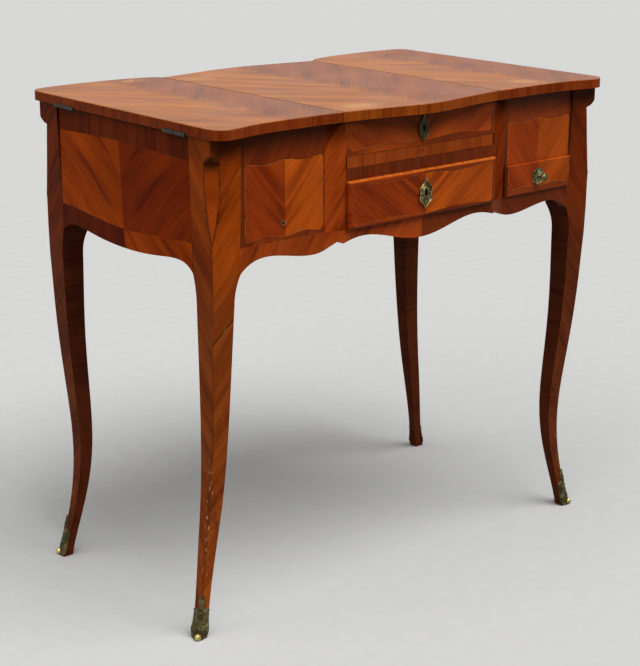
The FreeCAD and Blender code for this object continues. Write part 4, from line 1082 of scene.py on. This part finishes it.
def key_plate_scrolls(name, face, centre, size, body, material):
    """Raised scrolls over a key plate, the same on both sides of its keyhole."""
    width, height = size

    def path(marks, side):
        marked = []
        for u, v, thickness in marks:
            out = face - PLATE_DEPTH - thickness * MM * 0.25
            spot = Vector((side * u * width / 2, out, centre + v * height / 2))
            marked.append((spot, thickness * MM * width / PLATE_WIDTH_OF_MARKS))
        return marked

    half_width, half_height, rise = CARTOUCHE
    oval = []
    for mark in range(CARTOUCHE_MARKS):
        angle = 2 * math.pi * mark / CARTOUCHE_MARKS
        oval.append((half_width * math.cos(angle), rise + half_height * math.sin(angle), CARTOUCHE_THICKNESS))
    paths = [(path(marks, side), False) for marks in PLATE_SCROLLS for side in (1, -1)]
    paths += [(path(marks, 1), False) for marks in PLATE_MIDDLE]
    paths.append((path(oval, 1), True))
    strands(name, paths, body, material)


# Knob of the small drawer, in millimetres: profiles as radius and distance out, ball as radius, middle
# and half thickness, its sweep in degrees
ROSETTE_PROFILE = [(13.0, 0.0), (13.0, 0.5), (12.6, 1.0), (12.2, 1.4), (11.6, 1.4), (11.0, 1.0),
                   (10.4, 0.7), (9.4, 0.9), (8.4, 1.3), (7.4, 1.7), (6.4, 2.1), (5.4, 2.4), (4.4, 2.8),
                   (3.6, 3.1), (2.6, 3.2)]
ROSETTE_SEGMENTS = 156
NECK_PROFILE = [(3.6, 2.9), (3.8, 3.5), (3.2, 4.2), (2.3, 5.0), (2.1, 6.0), (2.2, 6.8), (3.0, 7.3),
                (3.2, 7.8)]
KNOB_SEGMENTS = 40
BALL = (6.5, 12.4, 4.3)
BALL_START = -56
BALL_SWEEP = 130
BALL_STEPS = 9
BEADS = 26
BEAD_RING = 11.9
BEAD_RIDGE = (0.7, 0.8)
PETALS = 9
PETAL_RING = 7.2
PETAL_RIDGE = (0.55, 2.4)


def turned(form, profile, segments, ripple=None):
    """A profile of radius and distance out, turned about the axis of the small drawer's knob."""
    rings = []
    for radius, out in profile:
        ring = []
        for step in range(segments):
            angle = 2 * math.pi * step / segments
            raised = out + (ripple(radius, angle) if ripple else 0.0)
            aside = radius * MM * math.cos(angle)
            up = radius * MM * math.sin(angle)
            ring.append(form.verts.new((KNOB.x + aside, SMALL_Y - raised * MM, KNOB.z + up)))
        rings.append(ring)
    for low, high in zip(rings, rings[1:]):
        for k in range(segments):
            form.faces.new((low[k], low[k - 1], high[k - 1], high[k]))
    form.faces.new(rings[0])
    form.faces.new(rings[-1])


def rosette_ripple(radius, angle):
    """Beads on the rim and petals inside it."""
    beads = ridge(radius - BEAD_RING, BEAD_RIDGE) * max(0.0, math.cos(BEADS * angle))
    return beads + ridge(radius - PETAL_RING, PETAL_RIDGE) * math.cos(PETALS * angle)


def rosette():
    """Beaded rosette behind the small drawer's knob."""
    form = bmesh.new()
    turned(form, ROSETTE_PROFILE, ROSETTE_SEGMENTS, rosette_ripple)
    piece = placed("rosette", mesh_of("rosette", form), "small_drawer", "bronze", KNOB_BRONZE)
    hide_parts("knob_rosette")


def knob_ball():
    """Turned neck and flattened ball of the small drawer's knob."""
    radius, middle, half = BALL
    profile = list(NECK_PROFILE)
    for step in range(BALL_STEPS + 1):
        angle = math.radians(BALL_START + BALL_SWEEP * step / BALL_STEPS)
        profile.append((radius * math.cos(angle), middle + half * math.sin(angle)))
    form = bmesh.new()
    turned(form, profile, KNOB_SEGMENTS)
    piece = placed("knob_ball", mesh_of("knob_ball", form), "small_drawer", "bronze", KNOB_BRONZE)
    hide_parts("knob")


def seen_directly(tree):
    """1 for what the camera, a gloss or a glass sees, 0 for light on the object."""
    path = tree.nodes.new("ShaderNodeLightPath")
    seen = path.outputs["Is Camera Ray"]
    for kind in ("Is Glossy Ray", "Is Transmission Ray"):
        either = tree.nodes.new("ShaderNodeMath")
        either.operation = "MAXIMUM"
        tree.links.new(seen, either.inputs[0])
        tree.links.new(path.outputs[kind], either.inputs[1])
        seen = either.outputs[0]
    return seen


def make_floor():
    """Plain pale floor, wide enough to meet the backdrop, that throws little light up at the table."""
    reach = FLOOR_REACH
    mesh = bpy.data.meshes.new("floor")
    corners = [(-reach, -reach, 0), (reach, -reach, 0), (reach, reach, 0), (-reach, reach, 0)]
    mesh.from_pydata(corners, [], [(0, 1, 2, 3)])
    floor = added("floor", mesh)
    paint = Paint("pale_floor")
    specks = paint.noise(paint.x * 40, paint.y * 40, 0.0, 3.0)
    pale = paint.mix(specks, srgb(176, 176, 175), srgb(184, 184, 182))
    colour = paint.mix(Number(paint, seen_directly(paint.tree)), srgb(110, 110, 110), pale)
    mesh.materials.append(paint.finish(colour, 0.9, specks, SMOOTH_DEPTH, specular=0.1))


def make_world():
    """Even light all round, and a pale backdrop where the camera, a gloss or a glass sees it."""
    world = bpy.data.worlds.new("studio")
    bpy.context.scene.world = world
    world.use_nodes = True
    tree = world.node_tree
    tree.nodes.clear()
    light = tree.nodes.new("ShaderNodeBackground")
    light.inputs["Color"].default_value = (1.0, 1.0, 1.0, 1.0)
    light.inputs["Strength"].default_value = WORLD_STRENGTH
    backdrop = tree.nodes.new("ShaderNodeBackground")
    backdrop.inputs["Color"].default_value = srgb(214, 215, 215)
    backdrop.inputs["Strength"].default_value = 1.0
    choice = tree.nodes.new("ShaderNodeMixShader")
    output = tree.nodes.new("ShaderNodeOutputWorld")
    tree.links.new(seen_directly(tree), choice.inputs[0])
    tree.links.new(light.outputs[0], choice.inputs[1])
    tree.links.new(backdrop.outputs[0], choice.inputs[2])
    tree.links.new(choice.outputs[0], output.inputs[0])


def make_lamp(name, strength, spread, direction):
    """A soft distant lamp that shines along a direction."""
    data = bpy.data.lights.new(name, "SUN")
    data.energy = strength
    data.angle = math.radians(spread)
    lamp = added(name, data)
    lamp.rotation_mode = "QUATERNION"
    lamp.rotation_quaternion = Vector(direction).to_track_quat("-Z", "Y")


def make_camera():
    """Camera at the photograph's angle and framing."""
    azimuth, elevation, roll = (math.radians(a) for a in (AZIMUTH, ELEVATION, ROLL))
    level = math.cos(elevation)
    back = Vector((math.sin(azimuth) * level, -math.cos(azimuth) * level, math.sin(elevation)))
    right = (-back).cross(Vector((0, 0, 1))).normalized()
    up = right.cross(-back)
    turned_right = right * math.cos(roll) + up * math.sin(roll)
    turned_up = up * math.cos(roll) - right * math.sin(roll)
    data = bpy.data.cameras.new("camera")
    data.sensor_width = SENSOR
    data.lens = FOCAL_PIXELS / IMAGE_LONG_SIDE * SENSOR
    data.shift_x = (IMAGE_MIDDLE[0] - PRINCIPAL_POINT[0]) / IMAGE_LONG_SIDE
    data.shift_y = (PRINCIPAL_POINT[1] - IMAGE_MIDDLE[1]) / IMAGE_LONG_SIDE
    camera = added("camera", data)
    axes = Matrix((turned_right, turned_up, back)).transposed()
    camera.matrix_world = Matrix.Translation(Vector(LOOK_AT) + back * DISTANCE) @ axes.to_4x4()
    bpy.context.scene.camera = camera


dress_lids()
dress_legs()
dress_case()
dress_insides()
dress_mounts()
for front, sign_y in (("front", -1), ("back", 1)):
    for flank, sign_x in (("left", -1), ("right", 1)):
        sabot(front + "_" + flank, sign_x, sign_y)
key_plate_scrolls("lid_key_scrolls", CENTRE_Y, LID_PLATE_Z, LID_PLATE_SIZE, "case", DARK_BRONZE)
key_plate_scrolls("drawer_key_scrolls", DRAWER_Y, DRAWER_PLATE_Z, DRAWER_PLATE_SIZE, "drawer", RUBBED_BRONZE)
rosette()
knob_ball()
make_floor()
make_world()
make_lamp("key", *KEY_LAMP)
make_lamp("fill", *FILL_LAMP)
make_camera()
bpy.context.scene.view_settings.view_transform = "Standard"
